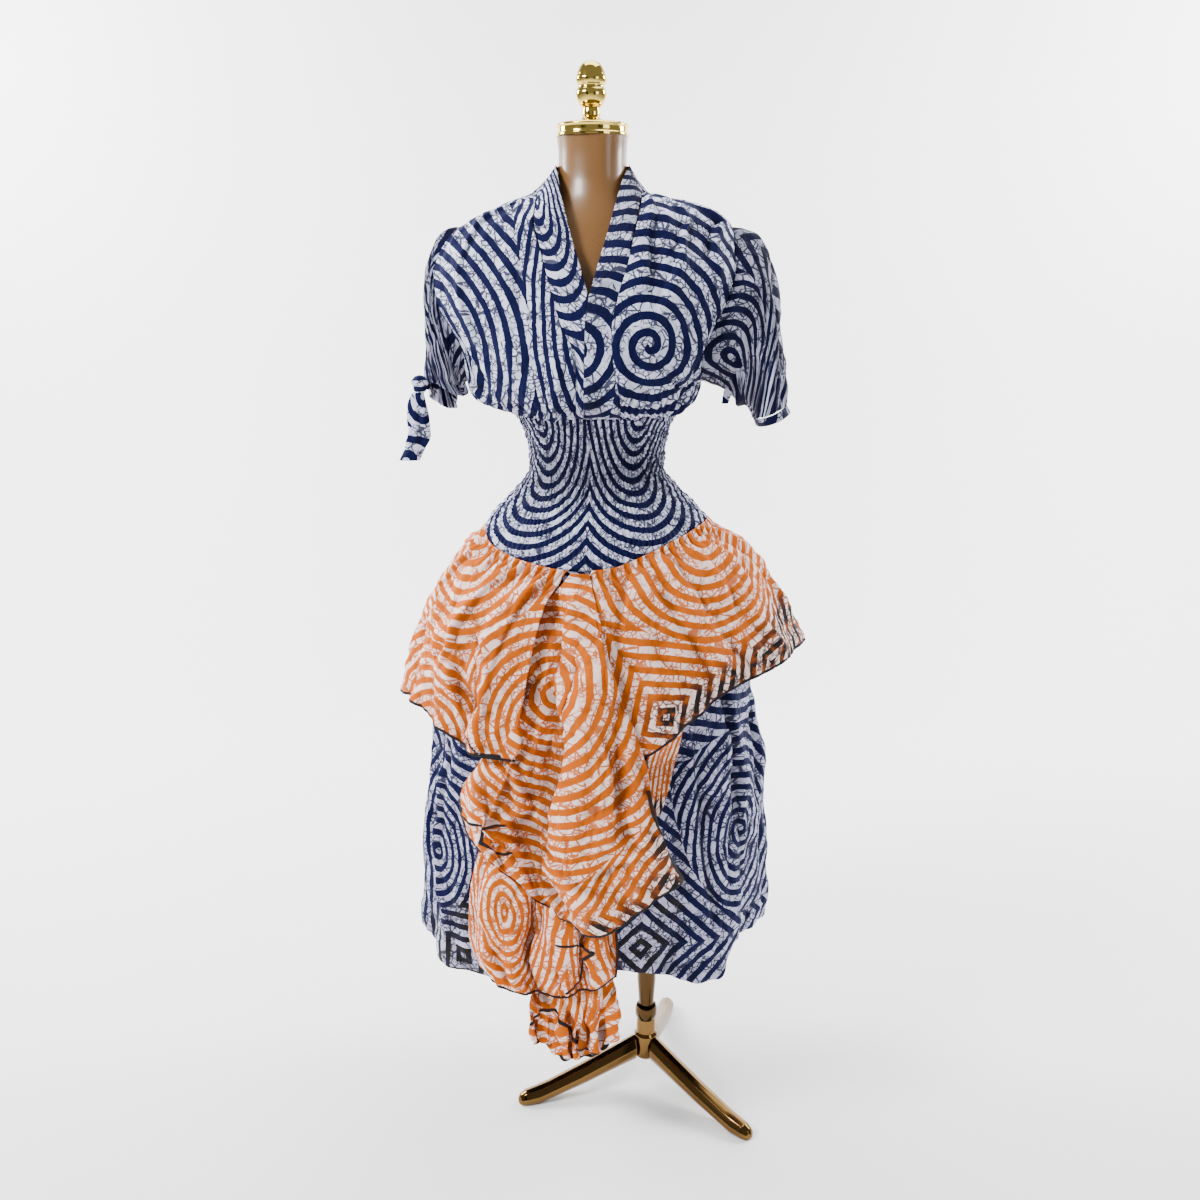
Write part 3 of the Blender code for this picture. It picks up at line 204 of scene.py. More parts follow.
# Tucks that run down the bodice from the shoulders
Tuck = namedtuple("Tuck", "turn width depth bottom")
TUCKS = rows_of(
    Tuck, (14.0, 4.5, 0.006, 1.36), (27.0, 4.5, 0.006, 1.36), (-30.0, 4.5, 0.004, 1.36),
    (-47.0, 4.5, 0.004, 1.36),
)

# A sleeve's hem ring: its middle, half widths, and how it drops outwards and tilts forwards
Cuff = namedtuple("Cuff", "centre across deep drop tilt")
CUFF_RIGHT = Cuff((-0.2475, 0.002, 1.236), 0.024, 0.050, 0.35, 0.45)
CUFF_LEFT = Cuff((0.2640, 0.000, 1.216), 0.0245, 0.062, 0.48, 0.0)

OVERSKIRT_FOLDS = rows_of(
    Fold, (-104, 7, 0.01, 1.0, 0.7, 10), (-84, 6, 0.012, 0.98, 0.7, -8), (-62, 6, 0.01, 0.96, 0.7, -14),
    (-45, 5, 0.012, 0.98, 0.68, -20), (-30, 4, 0.012, 0.97, 0.68, -22), (16, 5, 0.006, 0.97, 0.7, 4),
    (33, 6, -0.006, 1.0, 0.8, 8), (58, 8, 0.009, 1.0, 0.8, 10), (82, 8, 0.012, 0.98, 0.8, 14),
    (112, 8, 0.014, 0.98, 0.66, 10), (138, 7, 0.015, 0.98, 0.66, 6), (163, 8, 0.013, 0.97, 0.66, 2),
    (-172, 8, 0.012, 0.97, 0.66, -2), (-150, 7, 0.015, 0.98, 0.66, -6), (-127, 7, 0.013, 0.98, 0.66, -8),
)

UNDERSKIRT_FOLDS = rows_of(
    Fold, (-100, 9, 0.012, 0.9, 0.22, 6), (-76, 8, -0.012, 0.9, 0.22, 4), (-58, 7, 0.009, 0.8, 0.22, 3),
    (28, 7, -0.006, 0.8, 0.22, 2), (47, 6, 0.007, 0.8, 0.22, -3), (66, 7, -0.008, 0.8, 0.22, -2),
    (86, 7, 0.008, 0.8, 0.22, 3), (108, 9, -0.014, 0.85, 0.22, 4), (130, 8, 0.014, 0.85, 0.22, 4),
    (152, 8, -0.012, 0.85, 0.22, 2), (174, 8, 0.013, 0.85, 0.22, 0), (-163, 8, -0.013, 0.85, 0.22, -2),
    (-142, 8, 0.014, 0.85, 0.22, -4), (-121, 8, -0.012, 0.85, 0.22, -4),
)

# A front piece's two side edges, from its top at 0 to its bottom at 1
Sides = namedtuple("Sides", "down left_x left_z right_x right_z")
DRAPE_SIDES = rows_of(
    Sides, (0.0, -0.044, 0.99, -0.016, 0.9905), (0.12, -0.086, 0.935, 0.0, 0.93),
    (0.25, -0.106, 0.87, 0.016, 0.868), (0.38, -0.122, 0.805, 0.034, 0.812),
    (0.5, -0.15, 0.745, 0.055, 0.758), (0.62, -0.188, 0.688, 0.07, 0.705), (0.75, -0.221, 0.615, 0.08, 0.65),
    (0.88, -0.213, 0.578, 0.098, 0.59), (1.0, -0.188, 0.547, 0.13, 0.527),
)
DRAPE_BELLY = 0.088
# How far a front piece stands off the underskirt, across it, at its fullest
Depth = namedtuple("Depth", "across y")
DRAPE_DEPTH = rows_of(
    Depth, (0.0, 0.016), (0.12, 0.022), (0.26, 0.014), (0.36, 0.012), (0.44, 0.026), (0.52, 0.056),
    (0.66, 0.068), (0.84, 0.062), (1.0, 0.05),
)
DRAPE_BELLY_DEPTH = 0.024
# How far the drape's hollow lies to the right at its top, as a part of its width
DRAPE_LEAN = 0.12
DRAPE_FOLDS = rows_of(
    Crest, (0.08, 0.06, 0.01, 0.3, 1.1, 0.0), (0.24, 0.06, 0.012, 0.35, 1.1, 0.02),
    (0.4, 0.06, -0.008, 0.1, 0.75, 0.04), (0.62, 0.07, 0.008, 0.15, 0.9, -0.06),
    (0.9, 0.05, 0.006, 0.4, 1.1, 0.05),
)

LOWER_SIDES = rows_of(
    Sides, (0.0, -0.176, 0.58, -0.02, 0.57), (0.25, -0.196, 0.52, 0.012, 0.5),
    (0.5, -0.211, 0.45, 0.026, 0.43), (0.75, -0.215, 0.38, 0.03, 0.37), (1.0, -0.196, 0.32, 0.027, 0.332),
)
LOWER_BELLY = 0.030
LOWER_DEPTH = rows_of(
    Depth, (0.0, 0.008), (0.18, 0.03), (0.34, 0.026), (0.44, 0.016), (0.6, 0.026), (0.8, 0.024), (1.0, 0.014),
)
LOWER_FOLDS = rows_of(
    Crest, (0.12, 0.07, 0.008, 0.1, 1.0, 0.02), (0.28, 0.07, 0.008, 0.05, 1.0, 0.03),
    (0.43, 0.07, -0.009, 0.05, 1.1, 0.0), (0.58, 0.07, 0.008, 0.05, 1.1, 0.05),
    (0.73, 0.06, -0.006, 0.2, 1.1, 0.02), (0.87, 0.07, 0.007, 0.2, 1.1, -0.02),
)

TAIL_SIDES = rows_of(
    Sides, (0.0, -0.11, 0.306, 0.02, 0.328), (0.35, -0.116, 0.272, 0.032, 0.288),
    (0.7, -0.116, 0.238, 0.034, 0.252), (1.0, -0.104, 0.212, 0.03, 0.226),
)
TAIL_BELLY = 0.022
TAIL_WAVES = 6
TAIL_WAVE_DEPTH = 0.0045
TAIL_OUT = 0.012
TAIL_BEHIND = 0.0036

INSET_SIDES = rows_of(
    Sides, (0.0, 0.068, 0.77, 0.128, 0.79), (0.4, 0.072, 0.705, 0.12, 0.715),
    (0.75, 0.078, 0.645, 0.106, 0.65), (1.0, 0.084, 0.608, 0.094, 0.61),
)

# The form under the waist lies inside the cloth by this much
FORM_CLEAR = CLOTH / 2.0 + 0.0018
FORM_LOW = [Section(row.z, *[reach - FORM_CLEAR for reach in row[1:]]) for row in WAIST] + FORM_HIPS


# %% [markdown]
# ## Reading the tables
#
# A table is read along a smooth curve that never swings past its rows. The curve is worked out
# once at many places, then whole grids are read from it at a time.

# %% Curves through the tables
CURVES = {}


def smooth(keys, values):
    """Many points of a smooth curve through the rows."""
    order = np.argsort(keys)
    x, y = np.asarray(keys, float)[order], np.asarray(values, float)[order]
    step = np.diff(x)
    slope = np.diff(y) / step
    tangent = np.zeros(len(x))
    tangent[0], tangent[-1] = slope[0], slope[-1]
    for i in range(1, len(x) - 1):
        if slope[i - 1] * slope[i] > 0:
            tangent[i] = 2.0 * slope[i - 1] * slope[i] / (slope[i - 1] + slope[i])
    at = np.linspace(x[0], x[-1], 2400)
    i = np.clip(np.searchsorted(x, at) - 1, 0, len(step) - 1)
    t = (at - x[i]) / step[i]
    rise = (2 * t**3 - 3 * t**2 + 1) * y[i] + (3 * t**2 - 2 * t**3) * y[i + 1]
    bend = (t**3 - 2 * t**2 + t) * tangent[i] + (t**3 - t**2) * tangent[i + 1]
    return at, rise + step[i] * bend


def read(table, key, column, at):
    mark = (tuple(table), key, column)
    if mark not in CURVES:
        CURVES[mark] = smooth([getattr(row, key) for row in table], [getattr(row, column) for row in table])
    return np.interp(at, *CURVES[mark])


def reaches(table, z):
    return [read(table, "z", side, z) for side in ("left", "right", "front", "back")]


def hem_height(table, turn):
    """A hem's height, the same at -180 and 180 degrees."""
    mark = (tuple(table), "round")
    if mark not in CURVES:
        keys = [row.turn + shift for shift in (-360.0, 0.0, 360.0) for row in table]
        CURVES[mark] = smooth(keys, [row.z for row in table] * 3)
    return np.interp((np.asarray(turn) + 180.0) % 360.0 - 180.0, *CURVES[mark])


def ease(t):
    t = np.clip(t, 0.0, 1.0)
    return t * t * (3.0 - 2.0 * t)


def on_section(reach, turn, z, out=0.0):
    """Points at given turns of a section, moved out from it."""
    angle = np.radians(turn)
    side = np.where(np.sin(angle) > 0, reach[1], reach[0])
    deep = np.where(np.cos(angle) > 0, reach[2], reach[3])
    x = (side + out) * np.sin(angle)
    return np.stack(np.broadcast_arrays(x, -(deep + out) * np.cos(angle), z), axis=-1)


def turn_of(reach, x):
    """The turn at which the front of a section lies at x."""
    side = np.where(x > 0, reach[1], reach[0])
    return np.degrees(np.arcsin(np.clip(x / side, -1.0, 1.0)))


def steps(counts):
    """Down from 1 at the first row, and across from 0 at the first column."""
    return np.linspace(1.0, 0.0, counts[0])[:, None], np.linspace(0.0, 1.0, counts[1])[None, :]


def bump(away, width):
    return np.exp(-((away / width) ** 2))


def fold_height(folds, turn, z):
    """The sum of a skirt's folds."""
    total = 0.0
    for fold in folds:
        away = (turn - fold.turn - fold.lean * (fold.top - z) + 180.0) % 360.0 - 180.0
        total = total + fold.depth * bump(away, fold.width) * ease((fold.top - z) / 0.16)
    return total


def gathers(turn, count, shift):
    """Uneven small waves round the garment."""
    angle = np.radians(turn)
    first = np.cos(count * angle + shift)
    second = 0.6 * np.cos((count + 5) * angle + 2.1 * shift)
    return (first + second + 0.4 * np.cos((count - 7) * angle + 3.7 * shift)) / 2.0


print("waist seam from", WAIST_SEAM[0].z, "at the back to", hem_height(WAIST_SEAM, 0.0), "in front")


# %% [markdown]
# ## Where the cloth lies
#
# Each function gives points on the middle of the cloth, exactly where the solids have it: the
# waist, the bodice with its gathers and tucks, the armholes and sleeves, the neck band, the two
# skirts and the pieces in front of them.

# %% The bodice, bands and sleeves
def waist_point(turn, z, out=0.0):
    return on_section(reaches(WAIST, z), turn, z, out)


def bodice_point(turn, z):
    lift = (z - WAIST_TOP) / 0.10
    beside = np.abs(np.abs((turn + 180.0) % 360.0 - 180.0) - 90.0)
    push = BODICE_GATHER * gathers(turn, 23, 0.8) * ease(lift * 4.0) * (1.0 - ease(lift))
    push = push * ease(beside / 16.0)
    tuck = 0.0
    for row in TUCKS:
        tuck = tuck + row.depth * bump(turn - row.turn, row.width) * ease((z - row.bottom) / 0.08)
    return on_section(reaches(BODICE, z), turn, z, push + tuck * (1.0 - ease((z - 1.49) / 0.03)))


def armhole_turn(z, widest):
    """How many degrees the armhole takes off a panel's side."""
    part = np.clip((z - UNDERARM) / (SHOULDER_POINT - UNDERARM), 0.0, 1.0)
    return widest * np.sin(np.arccos(1.0 - 2.0 * part))


def seam_turn(table, z, shift):
    return turn_of(reaches(BODICE, z), read(table, "z", "x", z) + shift)


def bodice_heights(rows):
    """Heights up the bodice, closer together near the waist and over the shoulder."""
    keys = [0.0, 0.06, 0.14, 0.3, 0.5, 0.7, 0.82, 0.92, 1.0]
    values = [WAIST_TOP + SEAM_GAP, 1.219, 1.230, UNDERARM + 0.02, 1.345, 1.45, 1.492, 1.522, NECK_SEAM]
    return np.interp(np.linspace(0.0, 1.0, rows), *smooth(keys, values))


def bodice_panel(start_at, end_at, counts):
    z = bodice_heights(counts[0])[:, None]
    across = np.linspace(0.0, 1.0, counts[1])[None, :]
    start, end = start_at(z), end_at(z)
    return bodice_point(start + (end - start) * across, z)


def band_grid(side, counts):
    """Half of the neck band: up the open front and round to the centre back."""
    rows, columns = counts
    seam = BAND_SEAM_RIGHT if side < 0 else BAND_SEAM_LEFT
    column = "right" if side < 0 else "left"
    part = np.linspace(0.0, 1.0, columns)[None, :, None]
    z = bodice_heights(rows)[:, None]
    room = 2.0 * SEAM_GAP + BAND_ROOM * ease((z - 1.43) / 0.06)
    seam_at = seam_turn(seam, z, -side * room)
    centre = turn_of(reaches(BODICE, z), read(CENTRE_FRONT, "z", "x", z) + SEAM_GAP * side)
    low = bodice_point(seam_at + (centre - seam_at) * part[:, :, 0], z)
    up = V_POINT + (z - V_POINT) * (NECK_EDGE - V_POINT) / (NECK_SEAM - V_POINT)
    edge = [read(NECKLINE, "z", column, up), read(NECKLINE, "z", "y", up), up]
    outer, inner = bodice_point(seam_at, z), np.stack(edge, axis=-1)
    high = outer + (inner - outer) * part
    high[:, :, 1] -= BAND_BULGE * np.sin(math.pi * part[0, :, 0])[None, :] * ease((z - V_POINT) / 0.01)
    front = np.where(z[:, :, None] <= V_POINT, low, high)
    step = np.linspace(0.0, 1.0, rows // 3 + 1)[1:, None]
    start = np.abs(seam_turn(seam, NECK_SEAM, -side * (SEAM_GAP + BAND_ROOM)))
    outer = bodice_point(side * (start + (179.85 - start) * step), np.full_like(step, NECK_SEAM))
    outer[:, :, 2] += SEAM_GAP + CLOTH / 2.0
    turn = 104.0 + (179.85 - 104.0) * step
    angle = np.radians(side * turn)
    rise = NECK_EDGE + 0.010 * ease((turn - 90.0) / 90.0)
    inner = np.stack([NECK_CENTRE_X + 0.0570 * np.sin(angle), -0.0590 * np.cos(angle), rise], axis=-1)
    return np.concatenate([front, outer + (inner - outer) * part])


def cuff_point(cuff, side, part, scale=1.0):
    """Points of a sleeve's hem ring; part 0 is under the arm, 0.25 in front, 0.5 outside."""
    across = -np.cos(2.0 * math.pi * part) * cuff.across * scale
    deep = -np.sin(2.0 * math.pi * part) * cuff.deep * scale
    z = cuff.centre[2] + across * cuff.drop - deep * cuff.tilt
    return np.stack([cuff.centre[0] + side * across, cuff.centre[1] + deep, z], axis=-1)


def sleeve_grid(side, cuff, bulge, flare, counts):
    """Rings from the armhole to the hem, blown out between them; the hem is the first row."""
    rows, columns = counts
    round_part = np.arange(columns) / columns
    angle = 2.0 * math.pi * round_part
    widest = ARMHOLE_RIGHT if side < 0 else ARMHOLE_LEFT
    z = (UNDERARM + SHOULDER_POINT) / 2.0 - (SHOULDER_POINT - UNDERARM) / 2.0 * np.cos(angle)
    loop = bodice_point(side * (90.0 - widest * np.sin(angle)), z)
    middle = loop.mean(axis=0)
    inward = (middle - loop) * np.array([0.0, 1.0, 1.0])
    inward = inward / np.linalg.norm(inward, axis=1, keepdims=True)
    out = 3.5 * SEAM_GAP
    loop = loop + inward * (CLOTH / 2.0 + out) + np.array([side * out, 0.0, 0.0])
    part = np.linspace(1.0, 0.0, rows)[:, None]
    bend = ease(part) * 0.5 + part * 0.5
    hem = cuff_point(cuff, side, round_part)
    weight = np.stack([1.0 - (1.0 - part) ** flare, part, part * bend], axis=-1)
    points = loop[None] + (hem - loop)[None] * weight
    centre = middle + (np.array(cuff.centre) - middle) * bend[:, :, None]
    away = points - centre
    away = away / np.linalg.norm(away, axis=2, keepdims=True)
    wave = 1.0 + 0.3 * np.cos(5.0 * angle[None, :] + 2.0 * part)
    return points + away * (bulge * np.sin(math.pi * part) ** 2 * wave)[:, :, None]


# %% The skirts and the pieces in front of them
def skirt_point(turn, z, table, out, folds, small):
    low = hem_height(WAIST_SEAM, turn)
    near = [reach + out for reach in reaches(WAIST, z)]
    drop = ease((low - z) / 0.045)
    reach = [a + (b - a) * drop for a, b in zip(near, reaches(table, z))]
    wave = fold_height(folds, turn, z) + small * (1.0 + gathers(turn, 21, 0.4)) * ease((low - z) / 0.03)
    return on_section(reach, turn, z, wave)


def skirt_panel(span, table, hem, out, folds, small, rise, counts):
    """A panel between two turns at the waist and two at the hem, with its hem as first row."""
    down, across = steps(counts)
    start, end = read(span, "down", "left", down), read(span, "down", "right", down)
    turn = start + (end - start) * across
    top = hem_height(WAIST_SEAM, turn) + rise
    z = top - (top - hem_height(hem, turn)) * down**1.6
    return skirt_point(turn, z, table, out, folds, small)


def underskirt_depth(x, z):
    turn = turn_of(reaches(UNDERSKIRT, z), x)
    return -skirt_point(turn, z, UNDERSKIRT, 0.0, UNDERSKIRT_FOLDS, UNDER_GATHER)[..., 1]


def overskirt_depth(x, z):
    turn = turn_of(reaches(OVERSKIRT, z), x)
    return -skirt_point(turn, z, OVERSKIRT, CLOTH + LAYER_GAP, OVERSKIRT_FOLDS, OVER_GATHER)[..., 1]


def crest_height(crests, across, down):
    total = 0.0
    for crest in crests:
        window = ease((down - crest.top) / 0.2) * (1.0 - ease((down - crest.bottom) / 0.2))
        away = across - crest.across - crest.lean * down
        total = total + crest.depth * bump(away, crest.width) * window
    return total


def drape_depth(across, down, x, z):
    seat = -waist_point(turn_of(reaches(WAIST, z), x), z, CLOTH + LAYER_GAP)[..., 1]
    crest = across - DRAPE_LEAN * (1.0 - ease((down - 0.2) / 0.3))
    full = underskirt_depth(x, z) + read(DRAPE_DEPTH, "across", "y", crest)
    full = full + DRAPE_BELLY_DEPTH * ease((down - 0.5) / 0.5)
    depth = seat + (full - seat) * ease(down / 0.28)
    depth = np.maximum(depth, underskirt_depth(x, z) + CLOTH + 0.0014)
    over = np.maximum(depth, overskirt_depth(x, z) + CLOTH + 0.0015)
    return depth + (over - depth) * ease((x + 0.075) / 0.04) + crest_height(DRAPE_FOLDS, across, down)


def lower_depth(across, down, x, z):
    full = read(LOWER_DEPTH, "across", "y", across) * ease(down / 0.7)
    full = full + crest_height(LOWER_FOLDS, across, down) * ease(down / 0.6)
    return underskirt_depth(x, z) + CLOTH + LAYER_GAP + full


def tail_depth(across, down, x, z):
    """The tail hangs from just behind the lower panel's bottom edge, in even waves."""
    lower = front_grid(LOWER_SIDES, LOWER_BELLY, lower_depth, (8, 16))
    heights = np.array([np.interp(x, row[:, 0], row[:, 2]) for row in lower])
    depths = np.array([np.interp(x, row[:, 0], -row[:, 1]) for row in lower])
    seat = np.empty_like(z)
    for place in np.ndindex(z.shape):
        seat[place] = np.interp(z[place], heights[(slice(None), *place)], depths[(slice(None), *place)])
    below = ease((heights[0] - z - 0.006) / 0.045)
    wave = 1.0 + np.sin(2.0 * math.pi * TAIL_WAVES * across + 1.2 * down)
    return seat - CLOTH - TAIL_BEHIND + (TAIL_OUT + TAIL_WAVE_DEPTH * wave) * below


def inset_depth(across, down, x, z):
    near = overskirt_depth(x, z) - CLOTH - 0.0028
    return near + (underskirt_depth(x, z) + 0.006 - near) * ease(down / 0.6)


def front_grid(sides, belly, depth_at, counts):
    """A piece in front of the skirts, from its bottom row up, between two side edges."""
    down, across = steps(counts)
    ends = [read(sides, "down", column, down) for column in ("left_x", "right_x", "left_z", "right_z")]
    x = ends[0] + (ends[1] - ends[0]) * across
    z = ends[2] + (ends[3] - ends[2]) * across
    z = z - belly * np.maximum(np.sin(math.pi * across), 0.0) ** 1.6 * down**2
    across, down = np.broadcast_arrays(across, down)
    return np.stack([x, -depth_at(across, down, x, z), z], axis=-1)


print("sleeve hem heights", CUFF_RIGHT.centre[2], CUFF_LEFT.centre[2])


# %% [markdown]
# ## Making a sheet of cloth
#
# A sheet starts as a grid of points. Distances along its rows and columns are its flat
# coordinates, so the print lies on it as on cut cloth. Creases are soft ridges and troughs laid
# along short lines, each with its own width and depth; crumple adds the small facets that
# crisp cotton keeps. Then the grid gets a thin wall, its flat coordinates and three marks: how far
# a place is from the hem, how far the ink there has turned black, and how much painted shade
# it gets deep in folds and beside folded edges.

# %% Creases and crumple
PLACE = np.array([*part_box("stand_pole")[0]]) + np.array([*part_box("stand_pole")[1]])
SHIFT = np.array([PLACE[0] / 2.0 - POLE_X, PLACE[1] / 2.0, 0.0])
SHELL = 0.0009
# Without a seed, Blender's noise takes one from the clock and the crumple differs at each run
CRUMPLE_SEED = 1795808782
noise.seed_set(CRUMPLE_SEED)
ORANGE_SHEETS = ("overskirt", "front_drape", "lower_panel", "tail_frill", "inset_left")
SHEETS = {}

# A crease from one place to another, given across and down the sheet from 0 to 1. With an edge
# of 1 or -1 it is a folded edge, steep on its right or left and running out on the other side
Crease = namedtuple("Crease", "from_across from_down to_across to_down width depth edge", defaults=(0.0,))
# A spot of the print, where it lies on the finished dress, and how far it reaches
Spot = namedtuple("Spot", "x z reach")


def added(name, data):
    """Puts new data into the scene as an object."""
    item = bpy.data.objects.new(name, data)
    bpy.context.scene.collection.objects.link(item)
    return item


def pick(item):
    bpy.ops.object.select_all(action="DESELECT")
    bpy.context.view_layer.objects.active = item
    item.select_set(True)


def face_out(*edits):
    """Runs edits on the whole picked mesh, then turns its faces outward."""
    bpy.ops.object.mode_set(mode="EDIT")
    bpy.ops.mesh.select_all(action="SELECT")
    for edit in edits:
        edit()
    bpy.ops.mesh.normals_make_consistent(inside=False)
    bpy.ops.object.mode_set(mode="OBJECT")


def flat_lengths(grid, wrap):
    """Distances along the rows from the middle column, and down the columns from the top."""
    if wrap:
        grid = np.concatenate([grid, grid[:, :1]], axis=1)
    step_across = np.linalg.norm(np.diff(grid, axis=1), axis=2)
    step_down = np.linalg.norm(np.diff(grid, axis=0), axis=2)
    u = np.concatenate([np.zeros((len(grid), 1)), np.cumsum(step_across, axis=1)], axis=1)
    u -= u[:, [grid.shape[1] // 2]]
    v = np.concatenate([np.cumsum(step_down[::-1], axis=0)[::-1], np.zeros((1, grid.shape[1]))])
    return u, v


def hanging(grid, anchor, rising):
    """Flat coordinates that hang straight: along a row from an upright line, down from a level one."""
    across = np.linalg.norm(np.diff(grid[..., :2], axis=1), axis=2)
    down = np.linalg.norm(np.diff(grid[..., 1:], axis=0), axis=2)
    u = np.concatenate([np.zeros((len(grid), 1)), np.cumsum(across, axis=1)], axis=1)
    for i, row in enumerate(grid[..., 0]):
        order = np.argsort(row)
        beyond = anchor - np.clip(anchor, row.min(), row.max())
        u[i] -= np.interp(anchor, row[order], u[i][order]) + beyond * np.sign(row[-1] - row[0])
    start = np.zeros((1, grid.shape[1]))
    if rising:
        return u, -grid[0, :, 2] - np.concatenate([start, np.cumsum(down, axis=0)])
    return u, -grid[-1, :, 2] + np.concatenate([np.cumsum(down[::-1], axis=0)[::-1], start])


def blurred(field, reach, wrap):
    """A field averaged over a square of its neighbours."""
    for axis in (0, 1):
        mode = "wrap" if wrap and axis else "edge"
        pad = [(0, 0)] * field.ndim
        pad[axis] = (reach + 1, reach)
        total = np.cumsum(np.pad(field, pad, mode=mode), axis=axis)
        ahead = np.take(total, range(2 * reach + 1, total.shape[axis]), axis=axis)
        behind = np.take(total, range(0, total.shape[axis] - 2 * reach - 1), axis=axis)
        field = (ahead - behind) / (2 * reach + 1)
    return field


def painted_fold_shade(points, wrap):
    """How much painted shade a place gets in folds: 0 on open cloth and 1 deep in a fold, from narrow, wide
    and broad folds together.
    """
    out = normals(points, wrap)
    total = np.zeros(points.shape[:2])
    for reach, deep, share in ((2, 0.0012, 0.55), (9, 0.0090, 0.6), (22, 0.0180, 0.7)):
        sunk = np.sum((blurred(points, reach, wrap) - points) * out, axis=2)
        total += share * np.clip(sunk / deep, 0.0, 1.0)
    return total


def line_distance(grid, lines):
    """How far each place is from the nearest of some drawn lines, seen from in front."""
    best = np.full(grid.shape[:2], 1.0)
    for line in lines:
        for (ax, az), (bx, bz) in zip(line, line[1:]):
            length = (bx - ax) ** 2 + (bz - az) ** 2
            t = ((grid[..., 0] - ax) * (bx - ax) + (grid[..., 2] - az) * (bz - az)) / length
            t = np.clip(t, 0.0, 1.0)
            away = np.hypot(grid[..., 0] - ax - t * (bx - ax), grid[..., 2] - az - t * (bz - az))
            best = np.minimum(best, away)
    return best


def normals(grid, wrap):
    if wrap:
        across = np.roll(grid, -1, axis=1) - np.roll(grid, 1, axis=1)
    else:
        across = np.gradient(grid, axis=1)
    out = np.cross(across, np.gradient(grid, axis=0))
    return out / np.maximum(np.linalg.norm(out, axis=2, keepdims=True), 1e-9)


# A folded edge's steep side, how far its foot is out, and how far the shade beside it reaches
FOLD_EDGE, FOLD_FOOT, FOLD_SHADE = 0.0042, 0.002, 0.009
# A ridge with a stitched line along it: how high and wide, and the line's half width
STITCH_RISE, STITCH_REACH, STITCH_LINE = 0.0030, 0.005, 0.0024


def crease_height(creases, across, down, size):
    """Ridges along short lines, lost at both ends, and the shade beside their folded edges."""
    total = np.zeros(np.broadcast(across, down).shape)
    shade = np.zeros(total.shape)
    for k, crease in enumerate(creases):
        start = np.array([crease.from_across, crease.from_down]) * size
        along = np.array([crease.to_across, crease.to_down]) * size - start
        length = np.linalg.norm(along)
        x, y = across * size[0] - start[0], down * size[1] - start[1]
        t = (x * along[0] + y * along[1]) / length**2
        bow = 0.05 * length * np.sin(math.pi * np.clip(t, 0, 1)) * (1 if k % 2 else -1)
        away = (x * along[1] - y * along[0]) / length - bow
        ends = np.clip(np.sin(math.pi * np.clip(t, 0.0, 1.0)), 0, 1) ** 0.7
        uneven = 1.0 + 0.3 * np.sin(9.0 * t + k)
        steep = np.exp(-((np.abs(away) / FOLD_EDGE) ** 2))
        slow = np.exp(-((np.abs(away) / (2.2 * crease.width)) ** 1.3))
        profile = np.exp(-((np.abs(away) / crease.width) ** 1.5))
        if crease.edge:
            past = away * crease.edge
            profile = np.where(past > 0.0, steep, slow)
            beside = np.exp(-(np.maximum(past - FOLD_FOOT, 0.0) / FOLD_SHADE)) * (past > FOLD_FOOT)
            shade = np.maximum(shade, np.minimum(crease.depth / 0.012, 1.0) * beside * ends)
        total += crease.depth * profile * ends * uneven
    return total, shade


def crumple_height(u, v, seed, soft, sharp):
    """Soft dents and small flat facets with fine edges between them."""
    height = np.empty(u.shape)
    for place in np.ndindex(u.shape):
        a, b = float(u[place]), float(v[place])
        bend = noise.noise_vector((a * 14.0, b * 11.0, seed)) * 0.016
        near = noise.voronoi(((a + bend.x) * 24.0, (b + bend.y) * 16.0, seed * 3.1))[0]
        dent = noise.noise((a * 26.0, b * 13.0, seed + 5.0))
        fine = 1.0 - abs(noise.noise((a * 62.0 + bend.x * 50.0, b * 38.0, seed + 9.0))) * 2.0
        height[place] = soft * dent + sharp * (min(near[1] - near[0], 0.55) - 0.3) + 0.22 * sharp * fine
    return height


def flat_at(sheet, spot):
    """The flat coordinates of a spot of the dress; one outside the sheet is measured on from it."""
    grid, u, v = sheet["grid"], sheet["u"], sheet["v"]
    away = (grid[..., 0] - spot.x) ** 2 + (grid[..., 2] - spot.z) ** 2
    away = away + np.where((grid[..., 1] > 0.0) == spot.behind, 0.0, 10.0)
    i, j = np.unravel_index(np.argmin(away), away.shape)
    side = -1.0 if grid[i, j, 1] > 0.0 else 1.0
    beyond_x, beyond_z = spot.x - grid[i, j, 0], spot.z - grid[i, j, 2]
    far = 1.0 if math.hypot(beyond_x, beyond_z) > 0.012 else 0.0
    return float(u[i, j]) + far * side * beyond_x, float(v[i, j]) - far * beyond_z


def mark_near(grid, spots):
    """1 close to any of the spots, falling to 0 at their reach."""
    total = np.zeros(grid.shape[:2])
    for spot in spots:
        away = np.hypot(grid[..., 0] - spot.x, grid[..., 2] - spot.z)
        total = np.maximum(total, ease(1.5 * (1.0 - away / spot.reach)))
    return total


